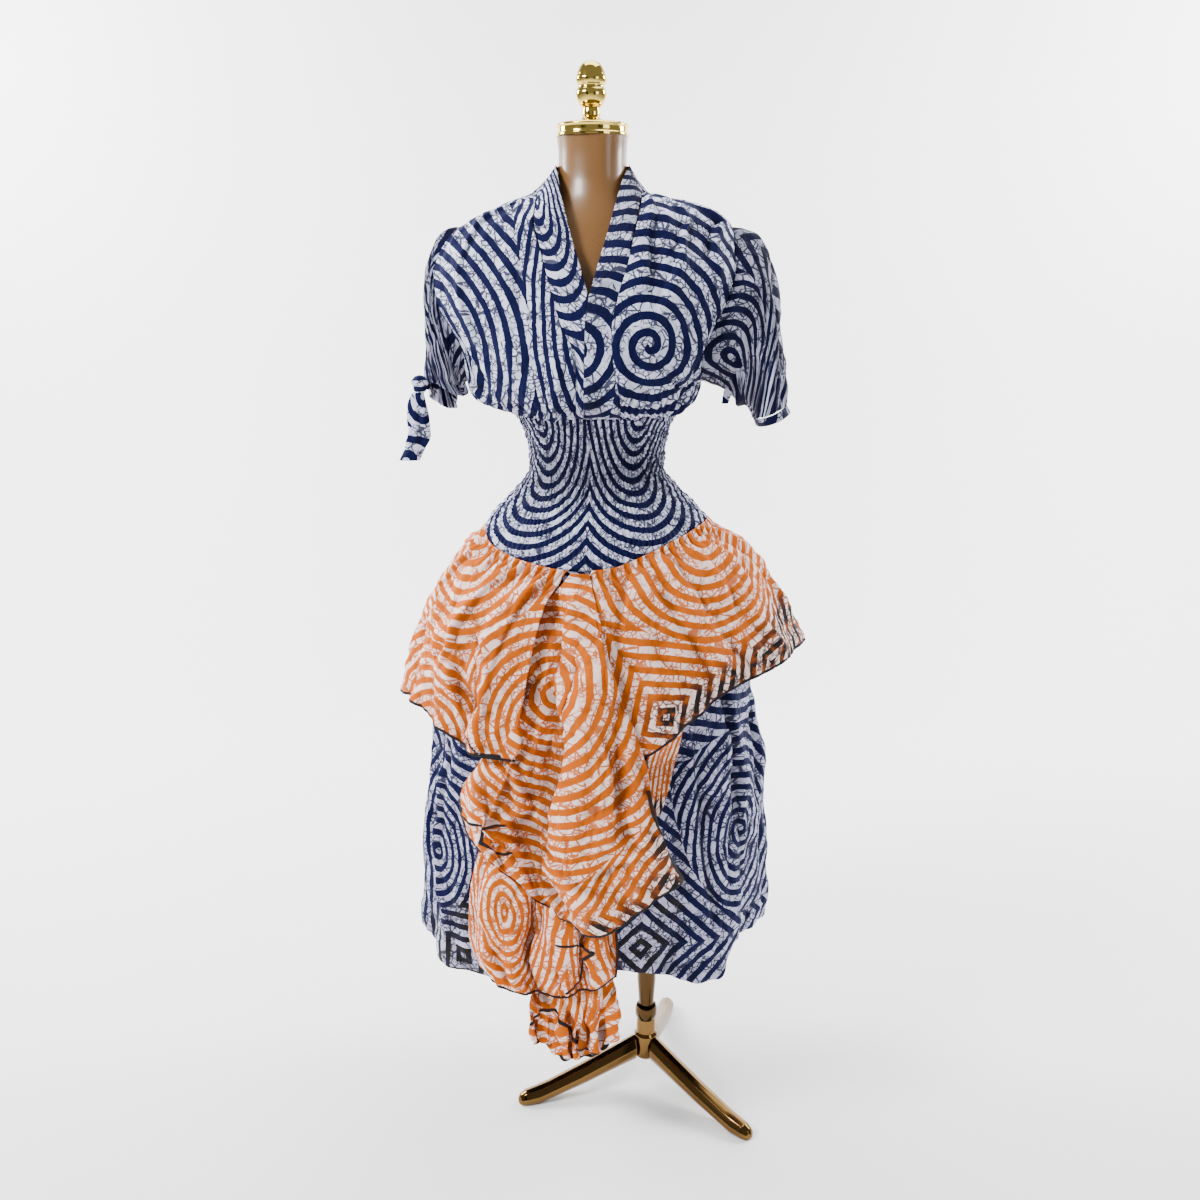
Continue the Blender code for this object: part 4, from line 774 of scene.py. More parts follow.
def cloth(name, grid, wrap=False, creases=(), soft=0.0, sharp=0.0, raised=None, fine=None,
          cut_width=None, black=(), calm=(0.02, 0.02), covered=None, edged=(), lines=(), anchor=None,
          rising=False, shade=1.0):
    """Makes one sheet from its grid and keeps its flat coordinates for the print."""
    rows, columns = grid.shape[:2]
    u, v = flat_lengths(grid, wrap)
    size = np.array([np.ptp(u, axis=1).mean(), np.ptp(v, axis=0).mean()])
    if cut_width:
        u = u / np.ptp(u, axis=1)[:, None] * cut_width
    u_own, v_own = u[:, :columns], v[:, :columns]
    cut = (float(np.ptp(u, axis=1).max()), float(np.ptp(v, axis=0).max()))
    down, across = steps((rows, columns))
    # The second value is the painted shadow beside the folded edges
    height, beside = crease_height(creases, across, down, size)
    if soft or sharp:
        seed = float(sum(ord(letter) for letter in name) % 97)
        height += crumple_height(u_own, v_own, seed, soft, sharp)
    top_calm, side_calm = calm
    height *= ease(v_own / max(top_calm, 1e-6)) if top_calm else 1.0
    if side_calm and not wrap:
        near_side = np.minimum(across, 1.0 - across) * size[0]
        height *= 0.15 + 0.85 * ease(near_side / side_calm)
    if covered is not None:
        height = height * (1.0 - 0.85 * covered) - 0.0006 * covered
    if raised is not None:
        height += raised
    to_hem = v_own.max(axis=0)[None, :] - v_own
    to_edge = to_hem
    for side, top in edged:
        near = (across if side == "left" else 1.0 - across) * size[0]
        to_edge = np.minimum(to_edge, near + np.where(down > top, 0.0, 1.0))
    if fine:
        side, depth, spacing, reach = fine
        near = to_hem if side == "bottom" else v_own
        waves = np.cos(2.0 * math.pi * u_own / spacing + 1.6 * np.sin(u_own * 55.0) + 12.0 * near)
        height += depth * waves * ease(near / 0.006) * (1.0 - ease(near / reach))
    if lines:
        away = line_distance(grid, lines)
        to_edge = np.minimum(to_edge, away + STITCH_LINE)
        height += STITCH_RISE * bump(away, STITCH_REACH)
    points = grid + normals(grid, wrap) * height[:, :, None]
    # Painted shade: deep in folds and beside folded edges the cloth's colour is painted darker
    painted_hollow_shade = np.minimum(shade * painted_fold_shade(points, wrap) + 0.75 * beside, 1.0)
    points = points + SHIFT
    if anchor is not None:
        u_own, v_own = hanging(grid, anchor, rising)
        u, v = u_own, v_own
    faces, places = [], []
    for i, j in np.ndindex(rows - 1, columns if wrap else columns - 1):
        corners = [(i, j), (i, j + 1), (i + 1, j + 1), (i + 1, j)]
        faces.append(tuple(row * columns + column % columns for row, column in corners))
        places += corners
    mesh = bpy.data.meshes.new(name)
    mesh.from_pydata(points.reshape(-1, 3).tolist(), [], faces)
    v = np.concatenate([v, v[:, :1]], axis=1)
    flat = [(u[place], v[place]) for place in places]
    mesh.uv_layers.new(name="flat").uv.foreach_set("vector", np.array(flat, np.float32).ravel())
    for mark, values in (("to_hem", to_edge), ("black", mark_near(grid, black)), ("painted_hollow_shade", painted_hollow_shade)):
        held = mesh.attributes.new(mark, "FLOAT", "POINT")
        held.data.foreach_set("value", np.asarray(values, np.float32).ravel())
    mesh.shade_smooth()
    item = added("cloth_" + name, mesh)
    wall = item.modifiers.new("wall", "SOLIDIFY")
    wall.thickness, wall.offset = SHELL, 0.0
    pick(item)
    bpy.ops.object.modifier_apply(modifier="wall")
    face_out()
    along, up = [np.linalg.norm(np.diff(grid, axis=axis), axis=2) for axis in (1, 0)]
    area = float((along[:-1] * up[:, :columns - 1]).sum())
    finish = "orange_print" if name.startswith(ORANGE_SHEETS) else "navy_print"
    SHEETS[name] = dict(item=item, grid=grid, u=u_own, v=v_own, cut=cut, area=area, finish=finish)


print("the frame's shift", np.round(SHIFT, 5))


# %% [markdown]
# ## The print
#
# The cloth is printed in the manner of wax-resist batik: even stripes run in rings round a few
# centres, each place following the nearest centre, so that stripes meet in chevrons between
# them. A centre can wind its rings into a spiral, squeeze them to ovals or square them. The
# cracks of the wax show as short, angular veins in the ink's own colour.

# %% The print's building blocks
# A centre of rings: x and z on the finished dress, then how its rings are drawn
Centre = namedtuple("Centre", "x z squeeze ring twist square angle lead behind")
RING = 0.0240


def centre(x, z, squeeze=1.0, ring=RING, twist=0.0, square=0.0, angle=0.0, lead=0.0, behind=False):
    return Centre(x, z, squeeze, ring, twist, square, angle, lead, behind)


def value(tree, kind, *inputs, **settings):
    """Adds one node and joins or sets its inputs in order."""
    node = tree.nodes.new(kind)
    for key, setting in settings.items():
        setattr(node, key, setting)
    for socket, given in zip(node.inputs, inputs):
        if given is None:
            continue
        if isinstance(given, bpy.types.NodeSocket):
            tree.links.new(given, socket)
        else:
            socket.default_value = given
    return node.outputs


def sums(tree, operation, *inputs):
    return value(tree, "ShaderNodeMath", *inputs, operation=operation)[0]


def marked(tree, name):
    """One of the marks that a sheet carries at each point."""
    return value(tree, "ShaderNodeAttribute", attribute_name=name)[2]


def cloud_at(tree, place, scale, detail):
    return value(tree, "ShaderNodeTexNoise", place, None, scale, detail)


def principled(name, **settings):
    """A material, its nodes and its shader, with the shader's sockets set by name."""
    made = bpy.data.materials.new(name)
    made.use_nodes = True
    shader = made.node_tree.nodes["Principled BSDF"]
    for socket, setting in settings.items():
        shader.inputs[socket.replace("_", " ")].default_value = setting
    return made, made.node_tree, shader


def relief(tree, shader, height, strength, distance):
    lift = tree.nodes.new("ShaderNodeBump")
    lift.inputs["Strength"].default_value = strength
    lift.inputs["Distance"].default_value = distance
    tree.links.new(height, lift.inputs["Height"])
    tree.links.new(lift.outputs[0], shader.inputs["Normal"])


def ramp(tree, given, start, end, low=0.0, high=1.0):
    """Maps the stretch from start to end of a value onto low to high."""
    return value(tree, "ShaderNodeMapRange", given, start, end, low, high)[0]


def blend(tree, amount, first, second):
    """Mixes two colours; each is a socket or three numbers."""
    node = tree.nodes.new("ShaderNodeMix")
    node.data_type = "RGBA"
    for socket, given in zip((node.inputs[0], node.inputs[6], node.inputs[7]), (amount, first, second)):
        if isinstance(given, bpy.types.NodeSocket):
            tree.links.new(given, socket)
        elif isinstance(given, float):
            socket.default_value = given
        else:
            socket.default_value = (*given, 1.0)
    return node.outputs[2]


def ring_group():
    """Reach and phase of the rings round one centre."""
    group = bpy.data.node_groups.new("rings", "ShaderNodeTree")
    for name in ("U", "V", "Centre U", "Centre V", "Squeeze", "Ring", "Twist", "Square", "Cosine", "Sine",
                 "Lead"):
        group.interface.new_socket(name, in_out="INPUT", socket_type="NodeSocketFloat")
    for name in ("Reach", "Phase"):
        group.interface.new_socket(name, in_out="OUTPUT", socket_type="NodeSocketFloat")
    given = group.nodes.new("NodeGroupInput").outputs
    result = group.nodes.new("NodeGroupOutput").inputs
    u, v = sums(group, "SUBTRACT", given[0], given[2]), sums(group, "SUBTRACT", given[1], given[3])
    across = sums(group, "MULTIPLY_ADD", u, given[8], sums(group, "MULTIPLY", v, given[9]))
    down = sums(group, "SUBTRACT", sums(group, "MULTIPLY", v, given[8]), sums(group, "MULTIPLY", u, given[9]))
    across = sums(group, "MULTIPLY", across, given[4])
    oval = sums(group, "MULTIPLY_ADD", across, across, sums(group, "MULTIPLY", down, down))
    oval = sums(group, "SQRT", oval)
    box = sums(group, "MAXIMUM", sums(group, "ABSOLUTE", across), sums(group, "ABSOLUTE", down))
    change = sums(group, "MULTIPLY", sums(group, "SUBTRACT", box, oval), given[7])
    reach = sums(group, "ADD", oval, change)
    winding = sums(group, "ARCTAN2", sums(group, "MULTIPLY", down, -1.0), across)
    winding = sums(group, "MULTIPLY", sums(group, "DIVIDE", winding, 2.0 * math.pi), given[6])
    phase = sums(group, "SUBTRACT", sums(group, "DIVIDE", reach, given[5]), winding)
    group.links.new(sums(group, "SUBTRACT", reach, given[10]), result[0])
    group.links.new(phase, result[1])
    return group


RINGS = ring_group()


def shaken(tree, place, scale, detail, amount):
    """Moves a place about by a noise of its own."""
    cloud = cloud_at(tree, place, scale, detail)[1]
    cloud = value(tree, "ShaderNodeVectorMath", cloud, (0.5, 0.5, 0.5), operation="SUBTRACT")[0]
    cloud = value(tree, "ShaderNodeVectorMath", cloud, (amount,) * 3, operation="MULTIPLY")[0]
    return value(tree, "ShaderNodeVectorMath", place, cloud, operation="ADD")[0]


def cracks(tree, place, scale, width, mask_scale, mask):
    """Broken lines between cells: their width is in metres, mask says how much is kept."""
    edge = value(tree, "ShaderNodeTexVoronoi", place, feature="DISTANCE_TO_EDGE")[0]
    edge.node.inputs["Scale"].default_value = scale
    cloud = cloud_at(tree, place, mask_scale, 2.0)[0]
    edge = sums(tree, "SUBTRACT", edge, ramp(tree, cloud, 0.5, 0.75, 0.0, width * scale * 0.5))
    line = ramp(tree, edge, width * scale * 0.55, width * scale * 1.15, 1.0, 0.0)
    return sums(tree, "MULTIPLY", line, ramp(tree, cloud, mask - 0.035, mask + 0.035))


def print_cloth(name, ink, ground, centres, ink_share, overlock, finer):
    """The printed cotton of one sheet: matt, with a trace of sheen."""
    sheet = SHEETS[name]
    made, tree, shader = principled("print_" + name, Roughness=0.80, Sheen_Weight=0.015,
                                    Sheen_Roughness=0.5, Specular_IOR_Level=0.10)
    flat = value(tree, "ShaderNodeUVMap", uv_map="flat")[0]
    drawn = shaken(tree, flat, 9.0, 1.0, 0.009)
    drawn = shaken(tree, drawn, 95.0, 2.0, 0.0034)
    u, v = value(tree, "ShaderNodeSeparateXYZ", drawn)[:2]
    best, phase = None, None
    for spot in centres:
        near = flat_at(sheet, spot)
        spot = spot._replace(ring=spot.ring * finer)
        angle = math.radians(spot.angle)
        settings = (*near, *spot[2:6], math.cos(angle), math.sin(angle), spot.lead)
        reach, rings = value(tree, "ShaderNodeGroup", u, v, *settings, node_tree=RINGS)
        if best is None:
            best, phase = reach, rings
            continue
        closer = sums(tree, "LESS_THAN", reach, best)
        phase = sums(tree, "MULTIPLY_ADD", closer, sums(tree, "SUBTRACT", rings, phase), phase)
        best = sums(tree, "MINIMUM", best, reach)
    from_middle = sums(tree, "ABSOLUTE", sums(tree, "SUBTRACT", sums(tree, "FRACT", phase), 0.5))
    stripe = ramp(tree, from_middle, ink_share / 2.0 - STRIPE_EDGE, ink_share / 2.0 + STRIPE_EDGE, 1.0, 0.0)
    torn = shaken(tree, flat, 30.0, 4.0, 0.012)
    vein = cracks(tree, torn, 52.0, 0.0010, 45.0, 0.44)
    vein = sums(tree, "MAXIMUM", vein, cracks(tree, torn, 118.0, 0.0007, 26.0, 0.47))
    inked = sums(tree, "MAXIMUM", stripe, sums(tree, "MULTIPLY", vein, 0.92))
    cloudy = cloud_at(tree, flat, 60.0, 3.0)[0]
    black = sums(tree, "MULTIPLY", marked(tree, "black"), ramp(tree, cloudy, 0.35, 0.5, 0.45, 1.0))
    ink_now = blend(tree, black, ink, BLACK_INK)
    paler = blend(tree, ramp(tree, cloudy, 0.35, 0.75, 0.0, 0.10), ground, ink_now)
    colour = blend(tree, inked, paler, ink_now)
    if overlock:
        edge = ramp(tree, marked(tree, "to_hem"), OVERLOCK - 0.0010, OVERLOCK, 1.0, 0.0)
        colour = blend(tree, edge, colour, OVERLOCK_THREAD)
    # Painted shade: hollows and the sides of folded edges are painted darker, towards a tenth of the ink
    shadow = sums(tree, "MULTIPLY", marked(tree, "painted_hollow_shade"), HOLLOW_SHADE)
    colour = blend(tree, shadow, colour, tuple(0.10 * part for part in ink))
    tree.links.new(colour, shader.inputs["Base Color"])
    wrinkle = cloud_at(tree, flat, 70.0, 4.0)[0]
    weave = cloud_at(tree, flat, 900.0, 1.0)[0]
    crisp = sums(tree, "ABSOLUTE", sums(tree, "SUBTRACT", cloud_at(tree, flat, 38.0, 2.0)[0], 0.5))
    wrinkle = sums(tree, "MULTIPLY_ADD", crisp, -1.4, wrinkle)
    relief(tree, shader, sums(tree, "MULTIPLY_ADD", weave, 0.05, wrinkle), 0.8, 0.0030)
    sheet["item"].data.materials.clear()
    sheet["item"].data.materials.append(made)


# Inks and cloth grounds; the underskirt's ground is darker, as it hangs in the overskirt's shade
NAVY, NAVY_GROUND, NAVY_SHADED = (0.0022, 0.0034, 0.037), (0.68, 0.70, 0.90), (0.50, 0.50, 0.68)
ORANGE, ORANGE_GROUND = (0.50, 0.098, 0.0), (0.95, 0.71, 0.65)
BLACK_INK, OVERLOCK_THREAD = (0.012, 0.010, 0.011), (0.012, 0.012, 0.014)
# The width of the overlocked edge, how soft a stripe's edge is, and how dark the painted shade in a hollow
# gets
OVERLOCK, STRIPE_EDGE, HOLLOW_SHADE = 0.0050, 0.014, 0.62
print("rings are", RING, "apart")

# %% [markdown]
# ## Creases for each part of the dress
#
# The largest creases are placed one by one where the photo shows them. The ones in the rows
# below are uneven on purpose. The back and the sides, which the photo hides, get creases of the
# same kind from `scattered`, which spreads them unevenly with a seed of its own.

# %% Creases
def scattered(count, seed, lean, length, width, depth, top=0.12, bottom=0.95):
    """Uneven creases over a whole sheet; every third one is a trough."""
    rows = []
    for k in range(count):
        spread = [math.sin(seed * 7.1 + k * step) for step in (1.7, 2.9, 4.3, 5.9)]
        a, b, c, d = [math.modf(abs(part) * 43.7)[0] for part in spread]
        across = (k + 0.2 + 0.6 * a) / count
        start = top + (bottom - top) * b * 0.7
        reach = length * (0.5 + c)
        side = lean * (d - 0.5) * 2.0
        sign = -0.8 if k % 3 == 2 else 1.0
        row = (across, start, across + side * reach, min(start + reach, 1.0))
        fold = (0.0, 1.0, 0.0, -1.0)[k % 4] if sign > 0.0 else 0.0
        rows.append(Crease(*row, width * (0.6 + 0.8 * c), sign * depth * (0.5 + 0.8 * d), fold))
    return rows


BODICE_RIGHT_CREASES = rows_of(
    Crease, (0.62, 0.06, 0.3, 0.6, 0.011, 0.008, 1.0), (0.85, 0.16, 0.7, 0.52, 0.008, -0.0045),
    (0.1, 0.42, 0.42, 0.76, 0.012, 0.0075, -1.0), (0.05, 0.55, 0.36, 0.92, 0.01, 0.006),
    (0.25, 0.52, 0.5, 0.9, 0.009, -0.005), (0.55, 0.56, 0.58, 1.02, 0.01, 0.0075, -1.0),
    (0.74, 0.55, 0.7, 1.02, 0.008, -0.0045), (0.88, 0.6, 0.8, 1.02, 0.01, 0.0065, 1.0),
    (0.04, 0.2, 0.2, 0.46, 0.008, -0.004), (0.34, 0.12, 0.16, 0.34, 0.008, 0.0036),
)
BODICE_LEFT_CREASES = rows_of(
    Crease, (0.1, 0.02, 0.18, 0.42, 0.009, 0.0065, 1.0), (0.24, 0.06, 0.3, 0.44, 0.007, -0.0045),
    (0.36, 0.02, 0.44, 0.36, 0.009, 0.0065, 1.0), (0.52, 0.1, 0.66, 0.42, 0.008, -0.004),
    (0.62, 0.04, 0.84, 0.42, 0.01, 0.007, -1.0), (0.94, 0.44, 0.66, 0.8, 0.012, 0.008, 1.0),
    (0.98, 0.56, 0.78, 0.98, 0.01, -0.006), (0.42, 0.66, 0.4, 1.02, 0.01, 0.007, 1.0),
    (0.24, 0.7, 0.26, 1.02, 0.008, -0.0045), (0.58, 0.64, 0.52, 1.02, 0.01, 0.0055),
)
DRAPE_CREASES = rows_of(
    Crease, (0.55, 0.01, 0.45, 0.42, 0.02, 0.013, -1.0), (0.45, 0.26, 0.48, 0.78, 0.02, 0.015, -1.0),
    (0.2, 0.46, 0.26, 0.9, 0.016, 0.014, 1.0), (0.92, 0.1, 0.86, 0.44, 0.016, 0.007, 1.0),
    (0.26, 0.52, 0.44, 0.6, 0.01, 0.005), (0.28, 0.7, 0.44, 0.66, 0.01, 0.005),
    (0.08, 0.44, 0.3, 0.66, 0.012, 0.014, 1.0), (0.02, 0.54, 0.28, 0.7, 0.009, -0.01),
    (0.03, 0.64, 0.34, 0.82, 0.012, 0.013, 1.0), (0.02, 0.76, 0.3, 0.86, 0.009, -0.01),
    (0.02, 0.86, 0.3, 0.96, 0.011, 0.012, -1.0), (0.72, 0.42, 0.78, 0.8, 0.014, 0.009, 1.0),
    (0.86, 0.46, 0.88, 0.86, 0.009, -0.008), (0.97, 0.52, 0.95, 0.96, 0.01, 0.01, -1.0),
    (0.46, 0.78, 0.72, 0.92, 0.014, 0.009, 1.0), (0.58, 0.66, 0.88, 0.74, 0.01, 0.006),
    (0.34, 0.86, 0.58, 0.97, 0.01, -0.009), (0.62, 0.84, 0.92, 0.9, 0.009, -0.006),
)
LOWER_CREASES = rows_of(
    Crease, (0.6, 0.02, 0.46, 0.96, 0.016, 0.014, -1.0), (0.62, 0.02, 0.72, 0.9, 0.014, 0.014, 1.0),
    (0.6, 0.04, 0.84, 0.74, 0.012, 0.012, 1.0), (0.6, 0.04, 0.36, 0.8, 0.011, -0.011),
    (0.56, 0.06, 0.22, 0.66, 0.012, 0.011, -1.0), (0.7, 0.1, 0.92, 0.6, 0.009, -0.009),
    (0.12, 0.3, 0.16, 0.9, 0.011, 0.009), (0.3, 0.5, 0.28, 1.0, 0.01, 0.009),
    (0.6, 0.5, 0.62, 1.02, 0.009, -0.011), (0.8, 0.55, 0.82, 1.02, 0.011, 0.012, -1.0),
    (0.92, 0.4, 0.96, 0.96, 0.011, 0.011, 1.0), (0.06, 0.55, 0.24, 0.96, 0.009, -0.007),
)
OVER_RIGHT_CREASES = rows_of(
    Crease, (0.3, 0.16, 0.2, 0.7, 0.014, 0.0085, 1.0), (0.52, 0.1, 0.42, 0.66, 0.011, -0.007),
    (0.72, 0.06, 0.58, 0.86, 0.016, 0.012, 1.0), (0.66, 0.52, 0.84, 0.62, 0.01, 0.008, -1.0),
    (0.6, 0.62, 0.72, 0.94, 0.012, 0.01, 1.0), (0.84, 0.2, 0.74, 0.96, 0.01, -0.0085),
    (0.93, 0.1, 0.84, 0.98, 0.014, 0.013, 1.0), (0.62, 0.55, 0.88, 0.7, 0.01, 0.008),
    (0.66, 0.78, 0.92, 0.84, 0.009, -0.007), (0.12, 0.4, 0.34, 0.6, 0.01, 0.006),
    (0.06, 0.1, 0.1, 0.62, 0.01, -0.006), (0.4, 0.62, 0.6, 0.95, 0.011, 0.008),
    (0.16, 0.66, 0.3, 0.98, 0.01, -0.006),
)
OVER_LEFT_CREASES = rows_of(
    Crease, (0.3, 0.04, 0.3, 0.52, 0.01, -0.005), (0.46, 0.04, 0.5, 0.66, 0.012, 0.007),
    (0.24, 0.02, 0.1, 0.6, 0.016, 0.011, -1.0), (0.36, 0.03, 0.34, 0.4, 0.012, 0.008, 1.0),
    (0.62, 0.06, 0.7, 0.8, 0.014, 0.0085, 1.0), (0.74, 0.12, 0.88, 0.8, 0.011, -0.008),
    (0.84, 0.08, 0.96, 0.6, 0.011, 0.007), (0.3, 0.5, 0.34, 0.98, 0.014, 0.0075, -1.0),
    (0.42, 0.6, 0.5, 0.98, 0.01, -0.006), (0.6, 0.7, 0.66, 1.0, 0.01, 0.007),
    (0.9, 0.6, 0.97, 0.98, 0.01, 0.008),
)
UNDER_LEFT_CREASES = rows_of(
    Crease, (0.42, 0.3, 0.46, 0.98, 0.015, 0.0105, 1.0), (0.55, 0.35, 0.52, 0.92, 0.011, -0.008),
    (0.68, 0.32, 0.7, 0.96, 0.015, 0.0105, -1.0), (0.82, 0.34, 0.8, 0.94, 0.011, 0.0085),
    (0.92, 0.4, 0.9, 0.98, 0.011, -0.0075), (0.34, 0.6, 0.54, 0.76, 0.01, 0.0055),
    (0.62, 0.7, 0.88, 0.82, 0.01, 0.0055), (0.6, 0.46, 0.84, 0.56, 0.009, -0.0045),
)
UNDER_RIGHT_CREASES = rows_of(
    Crease, (0.08, 0.34, 0.12, 0.92, 0.012, 0.009), (0.22, 0.4, 0.2, 0.98, 0.011, -0.008),
    (0.34, 0.36, 0.38, 0.96, 0.015, 0.01, 1.0), (0.14, 0.62, 0.36, 0.72, 0.01, 0.006),
    (0.06, 0.76, 0.28, 0.84, 0.01, -0.005), (0.48, 0.4, 0.46, 0.9, 0.011, 0.007),
)
print(len(DRAPE_CREASES), "large creases on the drape")

# %% [markdown]
# ## The sheets
#
# The smocked waist comes first: narrow rows of elastic pinch it, and between them it puffs out
# in small pleats. It was cut as a plain rectangle, far wider than the waist. Then the bodice,
# the band, the sleeves and their ties, the skirts and the pieces in front.

# %% The smocked waist and the bodice
ELASTIC_ROWS = 17
PLEATS = 128
turns = np.linspace(-180.0, 180.0, 704, endpoint=False)[None, :]
part = np.linspace(0.0, 1.0, ELASTIC_ROWS * 3 + 1)[:, None]
low = hem_height(WAIST_SEAM, turns)
waist_grid = waist_point(turns, low + (WAIST_TOP - low) * part)
band_part = part * ELASTIC_ROWS
puff = np.abs(np.sin(math.pi * band_part)) ** 0.7
sway = 1.3 * np.sin(2.3 * np.floor(band_part)) + 3.2 * np.sin(np.radians(turns) * 5.0 + 0.7 * band_part)
pleat = 0.5 + 0.5 * np.cos(PLEATS * np.radians(turns) + sway)
uneven = 0.75 + 0.35 * np.sin(13.0 * np.radians(turns) + 2.0 * band_part)
puckers = 0.0034 * pleat * uneven * (0.30 + 0.70 * puff) - 0.0005
# The smocked pleats get half again as much painted shade in their hollows
cloth("waist_smocking", waist_grid, wrap=True, raised=puckers, cut_width=1.42, calm=(0, 0),
      shade=1.5)

edge = 0.03
bodice_right = bodice_panel(lambda z: -90.0 + edge + armhole_turn(z, ARMHOLE_RIGHT),
                            lambda z: seam_turn(BAND_SEAM_RIGHT, z, 0.0), (136, 112))
bodice_left = bodice_panel(lambda z: seam_turn(BAND_SEAM_LEFT, z, 0.0),
                           lambda z: 90.0 - edge - armhole_turn(z, ARMHOLE_LEFT), (136, 104))
bodice_back = bodice_panel(lambda z: 90.0 + edge + armhole_turn(z, ARMHOLE_LEFT),
                           lambda z: 270.0 - edge - armhole_turn(z, ARMHOLE_RIGHT), (100, 140))
kept = dict(soft=0.0036, sharp=0.0044, calm=(0.015, 0.012), fine=("bottom", 0.0026, 0.011, 0.085))
cloth("bodice_front_right", bodice_right, creases=BODICE_RIGHT_CREASES, anchor=-0.12,
      rising=True, **kept)
cloth("bodice_front_left", bodice_left, creases=BODICE_LEFT_CREASES, anchor=0.0697,
      rising=True, **kept)
cloth("bodice_back", bodice_back, creases=scattered(16, 2.0, 0.25, 0.4, 0.009, 0.0060),
      anchor=0.0, rising=True, **kept)
band_kept = dict(soft=0.0012, sharp=0.0012, calm=(0.01, 0.006))
for hand, side in (("right", -1), ("left", 1)):
    cloth("neck_band_" + hand, band_grid(side, (110, 22)), **band_kept)

# %% The sleeves, the cuff, the knot and the ties
SLEEVE_CREASES = scattered(20, 3.0, 0.5, 0.5, 0.011, 0.0095, 0.05, 1.0)
sleeve_right = sleeve_grid(-1, CUFF_RIGHT, 0.006, 2.0, (74, 130))
sleeve_left = sleeve_grid(1, CUFF_LEFT, 0.010, 1.6, (74, 130))[:, ::-1]
puffy = dict(soft=0.0056, sharp=0.0072, calm=(0.02, 0.0))
for hand, grid in (("right", sleeve_right), ("left", sleeve_left)):
    cloth("sleeve_" + hand, grid, wrap=True, creases=SLEEVE_CREASES, **puffy)
round_part = (np.arange(120) / 120.0)[None, ::-1]
widths = np.linspace(1.0, 0.0, 12)[:, None]
slope = (CLOTH * 0.55 + SEAM_GAP + CUFF_WIDTH * widths)[:, :, None] * np.array(CUFF_SLOPE)
cuff = cuff_point(CUFF_LEFT, 1, round_part, 1.0 + 0.04 * widths) + slope
cloth("cuff_left", cuff, wrap=True, soft=0.0012, sharp=0.0010, calm=(0.004, 0.0))

# A place along a strip, its half width there and how far it is turned
Station = namedtuple("Station", "down x y z half turn")


def hung_from(place, rows):
    """Stations given by how far each is to the right of, in front of and below a place."""
    return [Station(down, place[0] - x, place[1] - y, place[2] - z, half, turn)
            for down, x, y, z, half, turn in rows]


def strip_grid(stations, curl, counts):
    """A narrow strip hung through stations, bowed across; its end is the first row."""
    down = np.linspace(1.0, 0.0, counts[0])[:, None]
    across = np.linspace(-1.0, 1.0, counts[1])[None, :]
    x, y, z, half, turn = [read(stations, "down", name, down) for name in Station._fields[1:]]
    angle, bow = np.radians(turn), curl * (1.0 - across**2)
    x = x + across * half * np.cos(angle) + bow * np.sin(angle)
    y = y + across * half * np.sin(angle) - bow * np.cos(angle)
    return np.stack(np.broadcast_arrays(x, y, z), axis=-1)


hem = cuff_point(CUFF_RIGHT, -1, KNOT_PART)
knot = hem + np.array([-0.8, -0.6, 0.0]) * (KNOT_RADIUS + CLOTH / 2.0 + SEAM_GAP)
low = knot[2] - 0.0124
tail = hung_from((knot[0], knot[1], low), (
    (0.0, 0.002, 0.000, 0.000, 0.0080, 0.0), (0.2, 0.004, 0.003, 0.018, 0.0135, 12.0),
    (0.4, 0.002, 0.003, 0.042, 0.0155, -8.0), (0.6, 0.004, 0.001, 0.064, 0.0150, 10.0),
    (0.8, 0.012, 0.000, 0.086, 0.0150, -6.0), (1.0, 0.020, 0.000, 0.104, 0.0150, 8.0),
))
ragged = dict(soft=0.0034, sharp=0.0034, calm=(0.004, 0.0))
tie_creases = scattered(5, 5.0, 0.4, 0.6, 0.005, 0.0040, 0.0, 1.0)
cloth("tie_end_right", strip_grid(tail, 0.006, (60, 18)), creases=tie_creases, **ragged)
start = sleeve_grid(1, CUFF_LEFT, 0.010, 1.6, (7, 16))[4][1] - np.array([0.0, 0.0, TIE_DROP])
short = hung_from(start, (
    (0.0, 0.000, 0.000, 0.000, 0.0045, 10.0), (0.4, 0.001, 0.001, 0.010, 0.0060, -10.0),
    (1.0, 0.004, 0.001, 0.024, 0.0050, 10.0),
))
cloth("tie_end_left", strip_grid(short, 0.002, (16, 10)), soft=0.0005, calm=(0.002, 0.0))

# %% The skirts
Span = namedtuple("Span", "down left right")


def even(left, right):
    return [Span(0.0, left, right), Span(1.0, left, right)]


def inside(grid, sides, edge=0.02):
    """1 where a piece in front covers a sheet, easing to 0 past its edges."""
    z = grid[..., 2]
    left = np.interp(z, [row.left_z for row in sides][::-1], [row.left_x for row in sides][::-1])
    right = np.interp(z, [row.right_z for row in sides][::-1], [row.right_x for row in sides][::-1])
    across = ease((grid[..., 0] - left) / edge + 1.0) * ease((right - grid[..., 0]) / edge + 1.0)
    bottom = min(sides[-1].left_z, sides[-1].right_z) - 0.08
    return across * ease((z - bottom) / 0.03) * np.where(grid[..., 1] < 0.0, 1.0, 0.0)


